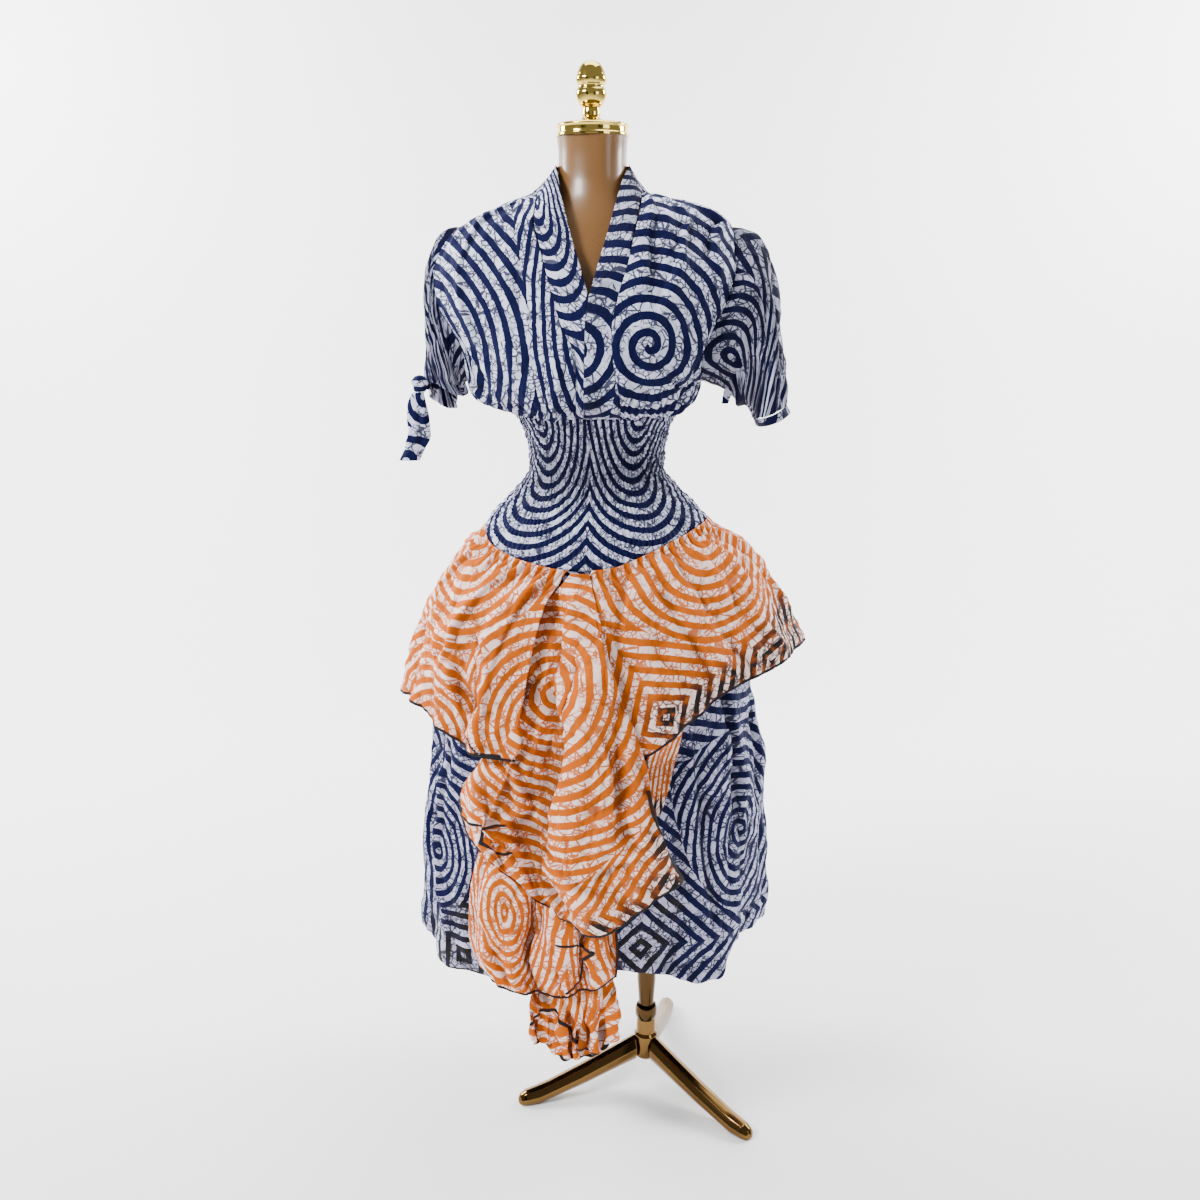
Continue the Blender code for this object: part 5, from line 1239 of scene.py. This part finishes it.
under = (UNDERSKIRT, UNDERSKIRT_HEM, 0.0, UNDERSKIRT_FOLDS, UNDER_GATHER, -SEAM_GAP)
under_kept = dict(soft=0.0060, sharp=0.0078, calm=(0.07, 0.012))
BLACK_UNDER_LEFT = rows_of(Spot, (0.07, 0.372, 0.07), (0.11, 0.44, 0.035))
BLACK_UNDER_RIGHT = rows_of(Spot, (-0.235, 0.32, 0.085), (-0.2, 0.3, 0.06), (-0.215, 0.4, 0.05))
under_right = skirt_panel(even(-89.95, -0.05), *under, (120, 100))
under_left = skirt_panel(even(0.05, 89.95), *under, (120, 100))
for hand, grid, creases, black, anchor in (
    ("right", under_right, UNDER_RIGHT_CREASES, BLACK_UNDER_RIGHT, -0.20),
    ("left", under_left, UNDER_LEFT_CREASES, BLACK_UNDER_LEFT, 0.20),
):
    cover = np.maximum(inside(grid, DRAPE_SIDES), inside(grid, LOWER_SIDES))
    cloth("underskirt_front_" + hand, grid, creases=creases, black=black, covered=cover, anchor=anchor,
          **under_kept)
under_back = scattered(15, 6.0, 0.12, 0.5, 0.012, 0.0090, 0.25, 1.0)
cloth("underskirt_back", skirt_panel(even(90.05, 269.95), *under, (100, 150)),
      creases=under_back, black=[Spot(0.19, 0.27, 0.09), Spot(-0.20, 0.27, 0.09)],
      anchor=0.0, **under_kept)

HEM_CORNER = [[(-0.198, 0.744), (-0.186, 0.718), (-0.151, 0.717)]]
over = (OVERSKIRT, OVERSKIRT_HEM, CLOTH + LAYER_GAP, OVERSKIRT_FOLDS, OVER_GATHER, 0.0015)
over_kept = dict(soft=0.0060, sharp=0.0078, calm=(0.035, 0.010), fine=("top", 0.0024, 0.012, 0.06))
span_right = [Span(0.0, -89.95, -14.0), Span(0.3, -89.95, -18.5), Span(1.0, -89.95, -24.0)]
span_left = [Span(0.0, -3.5, 89.95), Span(0.3, -5.0, 89.95), Span(1.0, 4.0, 89.95)]
over_right = skirt_panel(span_right, *over, (116, 128))
over_left = skirt_panel(span_left, *over, (116, 128))
cloth("overskirt_front_right", over_right, creases=OVER_RIGHT_CREASES,
      covered=inside(over_right, DRAPE_SIDES, 0.012), anchor=-0.14, lines=HEM_CORNER, **over_kept)
BLACK_OVER_LEFT = rows_of(
    Spot, (0.105, 0.78, 0.055), (0.15, 0.8, 0.055), (0.2, 0.82, 0.06), (0.25, 0.845, 0.06), (0.3, 0.87, 0.09),
)
cloth("overskirt_front_left", over_left, creases=OVER_LEFT_CREASES, black=BLACK_OVER_LEFT,
      covered=inside(over_left, DRAPE_SIDES), anchor=0.14, **over_kept)
over_back = scattered(18, 8.0, 0.15, 0.5, 0.011, 0.0090, 0.15, 1.0)
cloth("overskirt_back", skirt_panel(even(90.05, 269.95), *over, (84, 160)),
      creases=over_back, black=[Spot(0.26, 0.80, 0.09), Spot(0.18, 0.70, 0.08), Spot(-0.16, 0.68, 0.08)],
      anchor=0.0, **over_kept)

# %% The pieces in front
# Edges folded over the cloth, with their black stitching, as x and z
DRAPE_LINES = [
    [(-0.213, 0.598), (-0.178, 0.595), (-0.144, 0.602)],
    [(-0.181, 0.591), (-0.182, 0.571), (-0.164, 0.555), (-0.136, 0.559)],
]
LOWER_LINES = [[(-0.067, 0.407), (-0.031, 0.406), (-0.009, 0.395), (-0.021, 0.379), (-0.027, 0.354),
                (-0.031, 0.334), (-0.054, 0.313)]]
TAIL_LINES = [[(-0.124, 0.250), (-0.096, 0.265), (-0.073, 0.275), (-0.055, 0.259), (-0.036, 0.228),
               (-0.009, 0.212), (0.005, 0.214)]]
front_kept = dict(soft=0.0060, sharp=0.0082)
BLACK_DRAPE = rows_of(Spot, (0.125, 0.525, 0.085), (0.1, 0.6, 0.05), (0.06, 0.48, 0.05), (0.0, 0.47, 0.03))
cloth("front_drape", front_grid(DRAPE_SIDES, DRAPE_BELLY, drape_depth, (150, 120)),
      creases=DRAPE_CREASES, black=BLACK_DRAPE, calm=(0.07, 0.004), edged=[("right", 0.68), ("left", 0.45)],
      lines=DRAPE_LINES, anchor=-0.0668, **front_kept)
lower_grid = front_grid(LOWER_SIDES, LOWER_BELLY, lower_depth, (100, 104))
lower_cover = inside(lower_grid, DRAPE_SIDES) * ease((lower_grid[..., 2] - 0.50) / 0.04)
cloth("lower_panel", lower_grid, creases=LOWER_CREASES, lines=LOWER_LINES,
      calm=(0.02, 0.008), covered=lower_cover, edged=[("right", 0.35)], anchor=-0.10, **front_kept)
cloth("tail_frill", front_grid(TAIL_SIDES, TAIL_BELLY, tail_depth, (56, 150)),
      creases=scattered(14, 9.0, 0.3, 0.8, 0.007, 0.0080, 0.1, 1.0), calm=(0.03, 0.0), lines=TAIL_LINES,
      fine=("bottom", 0.0075, 0.024, 0.12), anchor=-0.04, **front_kept)
cloth("inset_left", front_grid(INSET_SIDES, 0.0, inset_depth, (50, 24)),
      soft=0.0024, sharp=0.0024, black=[Spot(0.09, 0.62, 0.03)], calm=(0.05, 0.006))
print(len(SHEETS), "sheets,", sum(len(s["item"].data.polygons) for s in SHEETS.values()), "faces")

# %% [markdown]
# ## Printing the sheets
#
# Each sheet gets its own layout of centres. Where two compete, a larger lead claims more cloth.

# %% Printing
rear = partial(centre, behind=True)
boxed = partial(centre, square=1.0)
PRINTS = {
    "waist_smocking": [centre(-0.094, 1.212), centre(0.06, 1.226), rear(-0.05, 1.21), rear(0.08, 1.22)],
    "bodice_front_right": [centre(-0.27, 1.285, 1.1), centre(0.05, 1.38, 1.7, lead=0.02)],
    "bodice_front_left": [centre(0.0697, 1.3211, twist=1.0)],
    "bodice_back": [rear(-0.08, 1.36, twist=1.0), rear(0.12, 1.3, 1.4), rear(0.06, 1.52)],
    "neck_band_right": [centre(-0.09, 1.52, 2.6, lead=-0.04), centre(0.16, 1.08)],
    "neck_band_left": [centre(0.07, 1.325), centre(-0.12, 1.27, lead=-0.03)],
    "sleeve_right": [centre(-0.262, 1.288, 1.2), centre(-0.1, 1.28, 1.2, lead=-0.02)],
    "sleeve_left": [
        centre(0.196, 1.3, 1.2), boxed(0.36, 1.33, 1.0, angle=30.0, lead=0.01), centre(0.25, 1.1, 0.9),
    ],
    "cuff_left": [centre(0.2, 1.225)],
    "tie_end_right": [centre(-0.27, 1.24, 1.6), centre(-0.3, 1.14, 1.0)],
    "tie_end_left": [centre(0.21, 1.26)],
    "underskirt_front_right": [
        centre(-0.262, 0.51, 1.7), centre(-0.2, 0.76, 1.2), boxed(-0.225, 0.325, lead=-0.02),
        centre(-0.08, 0.5, 1.4),
    ],
    "underskirt_front_left": [
        centre(0.225, 0.545, 1.5, twist=1.0), boxed(0.068, 0.372, angle=45.0),
        centre(0.235, 0.88, 0.55, lead=-0.02),
    ],
    "underskirt_back": [
        rear(-0.12, 0.55, 1.6, twist=1.0), rear(0.13, 0.5, 1.5), rear(0.0, 0.8),
        boxed(0.19, 0.3, behind=True, angle=45.0), boxed(-0.19, 0.3, behind=True, angle=45.0),
    ],
    "overskirt_front_right": [
        centre(-0.165, 1.05, 0.95), centre(-0.275, 0.725, lead=-0.035), centre(-0.085, 0.765, 1.25),
    ],
    "overskirt_front_left": [
        centre(0.15, 1.055, 0.95, lead=0.03), boxed(0.097, 0.787, angle=8.0, lead=-0.03),
        boxed(0.345, 0.86, lead=-0.07),
    ],
    "overskirt_back": [
        rear(-0.1, 0.98), rear(0.14, 0.94, twist=1.0), rear(0.0, 0.75),
        boxed(0.21, 0.74, behind=True, angle=45.0), rear(-0.22, 0.76),
    ],
    "front_drape": [
        centre(-0.0668, 0.8129, twist=1.0, lead=0.14), boxed(0.12, 0.515, angle=30.0),
        centre(-0.24, 0.56, 0.9, lead=-0.03),
    ],
    "lower_panel": [centre(-0.15, 0.446, 1.8), centre(0.045, 0.42, 1.9)],
    "tail_frill": [centre(-0.09, 0.3, 1.3), centre(0.06, 0.2, 1.3)],
    "inset_left": [centre(0.17, 0.66, 2.2)],
}
for name, centres in PRINTS.items():
    if SHEETS[name]["finish"] == "orange_print":
        ink, ground, finer = ORANGE, ORANGE_GROUND, 0.80
    else:
        under = name.startswith("under")
        ink, ground = NAVY, NAVY_SHADED if under else NAVY_GROUND
        finer = 0.87 if under or name.startswith("waist") else 1.0
    share = 0.66 if name == "cuff_left" else 0.50
    print_cloth(name, ink, ground, centres, share, ink is ORANGE and name != "inset_left", finer)
print(len(PRINTS), "sheets printed")


# %% [markdown]
# ## The hard pieces
#
# The form's neck and chest, the knot, the finial, the cap, the pole and its ring are round, so
# each starts as a circle that is drawn up ring by ring and resized. The legs start from a copy
# of their solids, which is merged and given finer, softly rounded faces.

# %% Round pieces
def drawn_up(name, centre, profile, segments, squash=None):
    """Draws a circle up through rings of radius and height; squash gives each ring's place."""
    bpy.ops.object.select_all(action="DESELECT")
    radius, z = profile[0]
    bpy.ops.mesh.primitive_circle_add(vertices=segments, radius=radius, fill_type="NGON", location=(0, 0, z))
    item = bpy.context.object
    item.name = name
    bpy.ops.object.transform_apply(location=True, rotation=True, scale=True)
    bpy.ops.object.mode_set(mode="EDIT")
    bpy.ops.mesh.select_all(action="SELECT")
    for radius_now, z_now in profile[1:]:
        move = {"value": (0.0, 0.0, z_now - z)}
        bpy.ops.mesh.extrude_region_move(TRANSFORM_OT_translate=move)
        scale = radius_now / radius
        bpy.ops.transform.resize(value=(scale, scale, 1.0))
        radius, z = radius_now, z_now
    bpy.ops.mesh.select_all(action="SELECT")
    bpy.ops.mesh.normals_make_consistent(inside=False)
    bpy.ops.object.mode_set(mode="OBJECT")
    mesh = item.data
    for vertex in mesh.vertices:
        if squash:
            vertex.co = squash(vertex.co.copy())
        vertex.co.x += centre[0] + SHIFT[0]
        vertex.co.y += centre[1] + SHIFT[1]
    mesh.shade_smooth()
    mesh.set_sharp_from_angle(angle=math.radians(38.0))
    mesh.update()
    return item


def rounded(profile, radius=0.0009):
    """Breaks each corner of a profile into two near places."""
    rows = [profile[0]]
    for before, here, after in zip(profile, profile[1:], profile[2:]):
        a, b, c = np.array(before), np.array(here), np.array(after)
        back, ahead = np.linalg.norm(a - b), np.linalg.norm(c - b)
        turn = np.dot(a - b, c - b) / max(back * ahead, 1e-12)
        if turn < -0.93 or min(back, ahead) < 2.2 * radius:
            rows.append(here)
            continue
        rows.append(tuple(b + (a - b) / back * radius))
        rows.append(tuple(b + 0.29 * ((a - b) / back + (c - b) / ahead) * radius))
        rows.append(tuple(b + (c - b) / ahead * radius))
    return rows + [profile[-1]]


def smooth_profile(rows, count):
    """A finer profile along a smooth line through the rows."""
    rows = np.array(rows)
    far = np.concatenate([[0.0], np.cumsum(np.linalg.norm(np.diff(rows, axis=0), axis=1))])
    at = np.linspace(0.0, far[-1], count)
    return list(zip(np.interp(at, *smooth(far, rows[:, 0])), np.interp(at, *smooth(far, rows[:, 1]))))


FINIAL_BALL = [
    (0.0126, 1.6425), (0.0136, 1.6455), (0.0136, 1.65), (0.0125, 1.654), (0.0139, 1.6562),
    (0.018, 1.66), (0.0222, 1.668), (0.0237, 1.6745), (0.0222, 1.6795), (0.0196, 1.6832),
    (0.0194, 1.6848), (0.0222, 1.689), (0.0237, 1.6945), (0.0222, 1.6992), (0.0205, 1.704),
    (0.0158, 1.7128), (0.0085, 1.7182), (0.0006, 1.7195),
]
finial_foot = rounded([(0.0182, 1.6346), (0.0182, 1.6370), (0.0148, 1.6402), (0.0126, 1.6425)], 0.0007)
finial_profile = finial_foot[:-1] + smooth_profile(FINIAL_BALL, 64)
cap_profile = [(0.0515, 1.6150), (0.0545, 1.6150), (0.0545, 1.6183), (0.0530, 1.6200), (0.0528, 1.6208),
               (0.0528, 1.6272), (0.0532, 1.6280), (0.0545, 1.6298), (0.0545, 1.6308), (0.0530, 1.6325),
               (0.0492, 1.6340), (0.0300, 1.6343)]
ring_profile = [(0.0150, 0.1302), (0.0162, 0.1300), (0.0190, 0.1345), (0.0196, 0.1390), (0.0196, 0.1450),
                (0.0190, 0.1510), (0.0176, 0.1548), (0.0150, 0.1560)]
pole_top = 0.7897
pole_profile = [(0.0130, 0.1563), (0.0133, 0.1600), (0.0165, 0.2100), (0.0165, pole_top)]
# The knot's radius and height from its middle
knot_rows = [(0.0020, -0.0128), (0.0070, -0.0115), (0.0112, -0.0060), (0.0125, 0.0), (0.0118, 0.0050),
             (0.0080, 0.0115), (0.0010, 0.0134)]


def lumpy(place):
    """Folds on the knot, as if the strip was pulled tight round itself."""
    x, y, z = place
    angle = math.atan2(y, x)
    z0 = z - float(knot[2])
    dent = 0.0011 * math.sin(2.0 * angle + 420.0 * z0) + 0.0007 * math.sin(5.0 * angle - 300.0 * z0)
    scale = 1.0 - 0.05 + dent / 0.0125
    return Vector((x * scale, y * scale, z))


centre_of_neck = (NECK_CENTRE_X, 0.0)
finial = drawn_up("gold_finial", (NECK_CENTRE_X - 0.0020, 0.0), finial_profile, 64)
cap = drawn_up("gold_neck_cap", centre_of_neck, rounded(cap_profile, 0.0003), 96)
ring = drawn_up("gold_ring", (POLE_X, 0.0), ring_profile, 64)
pole = drawn_up("gold_pole", (POLE_X, 0.0), pole_profile, 64)
knot_profile = [(r, z + float(knot[2])) for r, z in smooth_profile(knot_rows, 24)]
tie_knot = drawn_up("cloth_knot", (float(knot[0]), float(knot[1])), knot_profile, 40, lumpy)
print("finial", len(finial.data.vertices), "points; cap", len(cap.data.vertices))

# %% The form
form_rows = [(1.0, z) for z in np.concatenate([np.linspace(0.790, 0.80, 4), np.linspace(0.82, 1.20, 30),
                                               np.linspace(1.215, 1.6147, 50)])]
FORM_ALL = FORM_TOP + FORM_LOW


def on_form(place):
    """Puts a ring's point on the form's own ellipse at its height."""
    turn = math.degrees(math.atan2(place.x, -place.y))
    spot = on_section(reaches(FORM_ALL, place.z), turn, place.z)
    return Vector(spot)


form = drawn_up("form_body", (0.0, 0.0), form_rows, 96, on_form)
print("form", np.round(form.dimensions, 3))


# %% The hub and the legs
def softened(node, name):
    """A merged copy of a solid, with rounded edges."""
    item = added(name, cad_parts[node].data.copy())
    pick(item)
    face_out(partial(bpy.ops.mesh.remove_doubles, threshold=1e-5),
             partial(bpy.ops.mesh.dissolve_limited, angle_limit=math.radians(1.0)))
    edge = item.modifiers.new("edge", "BEVEL")
    edge.width, edge.segments = 0.0022, 3
    edge.limit_method, edge.angle_limit = "ANGLE", math.radians(12.0)
    bpy.ops.object.modifier_apply(modifier="edge")
    item.data.shade_smooth()
    item.data.set_sharp_from_angle(angle=math.radians(50.0))
    return item


LEGS = ["stand_leg_right", "stand_leg_left", "stand_leg_back"]
legs = [softened(node, "gold_" + node) for node in LEGS]
hub_profile = rounded([(0.0150, 0.0500), (0.0210, 0.0560), (0.0210, 0.0970), (0.0170, 0.1020),
                       (0.0165, 0.1297), (0.0100, 0.1297)], 0.0012)
hub = drawn_up("gold_hub", (POLE_X, 0.0), hub_profile, 64)
print("legs", [len(leg.data.polygons) for leg in legs])

# %% [markdown]
# ## Finishes of the hard pieces
#
# The form has a glossy brown lacquer. The metal is polished, with a very fine uneven polish; the
# stand's and the pole's gold is painted darker, as painted shade standing in for the dark surroundings they
# reflect.

# %% Lacquer and gold
def plain(name, colour, metallic, roughness, coat, bump_size, bump_scale):
    """An even finish with slightly cloudy colour and roughness."""
    made, tree, shader = principled(name, Metallic=metallic, Coat_Weight=coat, Coat_Roughness=0.08)
    place = value(tree, "ShaderNodeTexCoord")[3]
    cloud = cloud_at(tree, place, 9.0, 3.0)[0]
    tone = blend(tree, cloud, 0.86 * np.array(colour), np.minimum(1.10 * np.array(colour), 1.0))
    tree.links.new(tone, shader.inputs["Base Color"])
    tree.links.new(ramp(tree, cloud, 0.3, 0.7, roughness * 0.8, roughness * 1.25), shader.inputs["Roughness"])
    relief(tree, shader, cloud_at(tree, place, bump_scale, 2.0)[0], 0.25, bump_size)
    return made


# Colour, how metallic, roughness, coat, and the height and scale of its fine relief
lacquer = plain("brown_lacquer", (0.170, 0.078, 0.022), 0.0, 0.34, 0.12, 0.0004, 40.0)
metal = plain("gold_metal", (0.72, 0.52, 0.12), 1.0, 0.09, 0.0, 0.00008, 60.0)
# The stand and the pole are the same polished gold with painted shade: their colour is darkened to stand in
# for the dark surroundings they reflect
painted_shade_stand_gold = plain("gold_metal_stand_painted_shade", (0.15, 0.082, 0.026), 1.0, 0.12, 0.0, 0.0001, 60.0)
painted_shade_pole_gold = plain("gold_metal_pole_painted_shade", (0.062, 0.034, 0.013), 1.0, 0.12, 0.0, 0.0001, 60.0)
for item, gilt in ((finial, metal), (cap, metal), (ring, painted_shade_pole_gold), (pole, painted_shade_pole_gold),
                   *[(piece, painted_shade_stand_gold) for piece in (hub, *legs)]):
    item.data.materials.clear()
    item.data.materials.append(gilt)
form.data.materials.append(lacquer)
tie_knot.data.materials.append(SHEETS["tie_end_right"]["item"].data.materials[0])
layer = tie_knot.data.uv_layers.new(name="flat")
flat = []
for loop in tie_knot.data.loops:
    spot = tie_knot.data.vertices[loop.vertex_index].co
    turn = math.atan2(spot.y - SHIFT[1] - knot[1], spot.x - SHIFT[0] - knot[0])
    flat.append((KNOT_RADIUS * turn * 1.5, spot.z * 1.4))
layer.uv.foreach_set("vector", np.array(flat, np.float32).ravel())
layer.active_render = True
print("lacquer and gold set")


# %% [markdown]
# ## Putting the pieces on the body
#
# Every piece rides on the one body and takes its solid's place.

# %% Attaching the pieces
for name, sheet in SHEETS.items():
    item = sheet["item"]
    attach(item, "root")
    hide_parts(name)

for item, node, slot in ((form, "dress_form", "form_brown"), (finial, "finial", "polished_gold"),
                         (cap, "neck_cap", "polished_gold"), (pole, "stand_pole", "polished_gold"),
                         (ring, "pole_ring", "polished_gold"), (hub, "stand_hub", "polished_gold"),
                         (tie_knot, "tie_knot_right", "navy_print"), *zip(legs, LEGS, ["polished_gold"] * 3)):
    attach(item, "root")
    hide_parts(node)

# %% [markdown]
# ## Floor, light and camera
#
# A pale floor runs up into a pale wall. The key light stands high on the photo's left, a weak fill
# on its right and a soft light above; two washes light the wall. The camera looks slightly down
# from the height of the chest, as in the photo.

# %% Stage
KEY_WATTS, FILL_WATTS, TOP_WATTS, WASH_WATTS = 165.0, 26.0, 60.0, 260.0
WORLD_COLOUR, WORLD_STRENGTH = (0.95, 0.97, 1.0, 1.0), 0.32
CAMERA_BACK, CAMERA_HEIGHT, CAMERA_TILT = 1.89, 1.42, 74.8
WALL_FOOT, WALL_BEND, WALL_TOP, FLOOR_FRONT, FLOOR_SIDE = 1.6, 1.2, 6.0, -6.0, 7.0


def staged(name, corners, faces, colour):
    """A stage piece of one flat colour."""
    mesh = bpy.data.meshes.new(name)
    mesh.from_pydata(corners, [], faces)
    mesh.shade_smooth()
    mesh.materials.append(principled(name, Base_Color=(*colour, 1.0), Roughness=0.9)[0])
    item = added(name, mesh)
    return item


floor_z = float(size_after_load[0][2]) - 0.0005
rows = [(FLOOR_FRONT, floor_z), (WALL_FOOT, floor_z)]
for a in np.linspace(0.1, math.pi / 2, 16):
    rows.append((WALL_FOOT + WALL_BEND * math.sin(a), floor_z + WALL_BEND * (1.0 - math.cos(a))))
rows.append((WALL_FOOT + WALL_BEND, WALL_TOP))
staged("sweep", [(x, y, z) for y, z in rows for x in (-FLOOR_SIDE, FLOOR_SIDE)],
       [(2 * i, 2 * i + 1, 2 * i + 3, 2 * i + 2) for i in range(len(rows) - 1)], (0.93, 0.93, 0.93))
# Two dark cards out of the camera's sight, which the lacquer and the metal reflect
for name, x in (("dark_left", -1.95), ("dark_right", 1.65)):
    near, far = sorted((x - 0.45, x + 0.45), key=abs)
    corners = [(near, -3.8, 0.0), (far, -3.2, 0.0), (far, -3.2, 2.6), (near, -3.8, 2.6)]
    staged(name, corners, [(0, 1, 2, 3)], (0.02, 0.018, 0.016)).visible_camera = False

for name, place, aim, size, watts in (
    ("key", (-2.1, -1.5, 2.9), (0.0, 0.0, 0.9), (0.8, 1.0), KEY_WATTS),
    ("fill", (2.2, -2.2, 1.5), (0.0, 0.0, 0.8), (1.0, 1.8), FILL_WATTS),
    ("top", (0.1, 0.4, 3.2), (0.0, 0.0, 0.9), (2.0, 1.4), TOP_WATTS),
    ("wash_left", (-2.8, 1.2, 2.4), (0.6, 2.9, 0.6), (1.2, 1.6), WASH_WATTS),
    ("wash_right", (2.8, 1.2, 2.4), (-0.6, 2.9, 0.6), (1.2, 1.6), WASH_WATTS),
):
    lamp = bpy.data.lights.new(name, "AREA")
    lamp.shape, lamp.size, lamp.size_y, lamp.energy = "RECTANGLE", *size, watts
    item = added(name, lamp)
    item.location = place
    item.rotation_euler = (Vector(aim) - Vector(place)).to_track_quat("-Z", "Y").to_euler()
world = bpy.data.worlds.new("studio")
world.use_nodes = True
sky = world.node_tree.nodes["Background"].inputs
sky["Color"].default_value, sky["Strength"].default_value = WORLD_COLOUR, WORLD_STRENGTH
bpy.context.scene.world = world

lens = bpy.data.cameras.new("camera")
lens.lens, lens.sensor_width = 36.0, 36.0
camera = added("camera", lens)
camera.location = (SHIFT[0], -CAMERA_BACK + SHIFT[1], CAMERA_HEIGHT)
camera.rotation_euler = (math.radians(CAMERA_TILT), 0.0, 0.0)
bpy.context.scene.camera = camera
print("camera at", np.round(camera.location, 3))
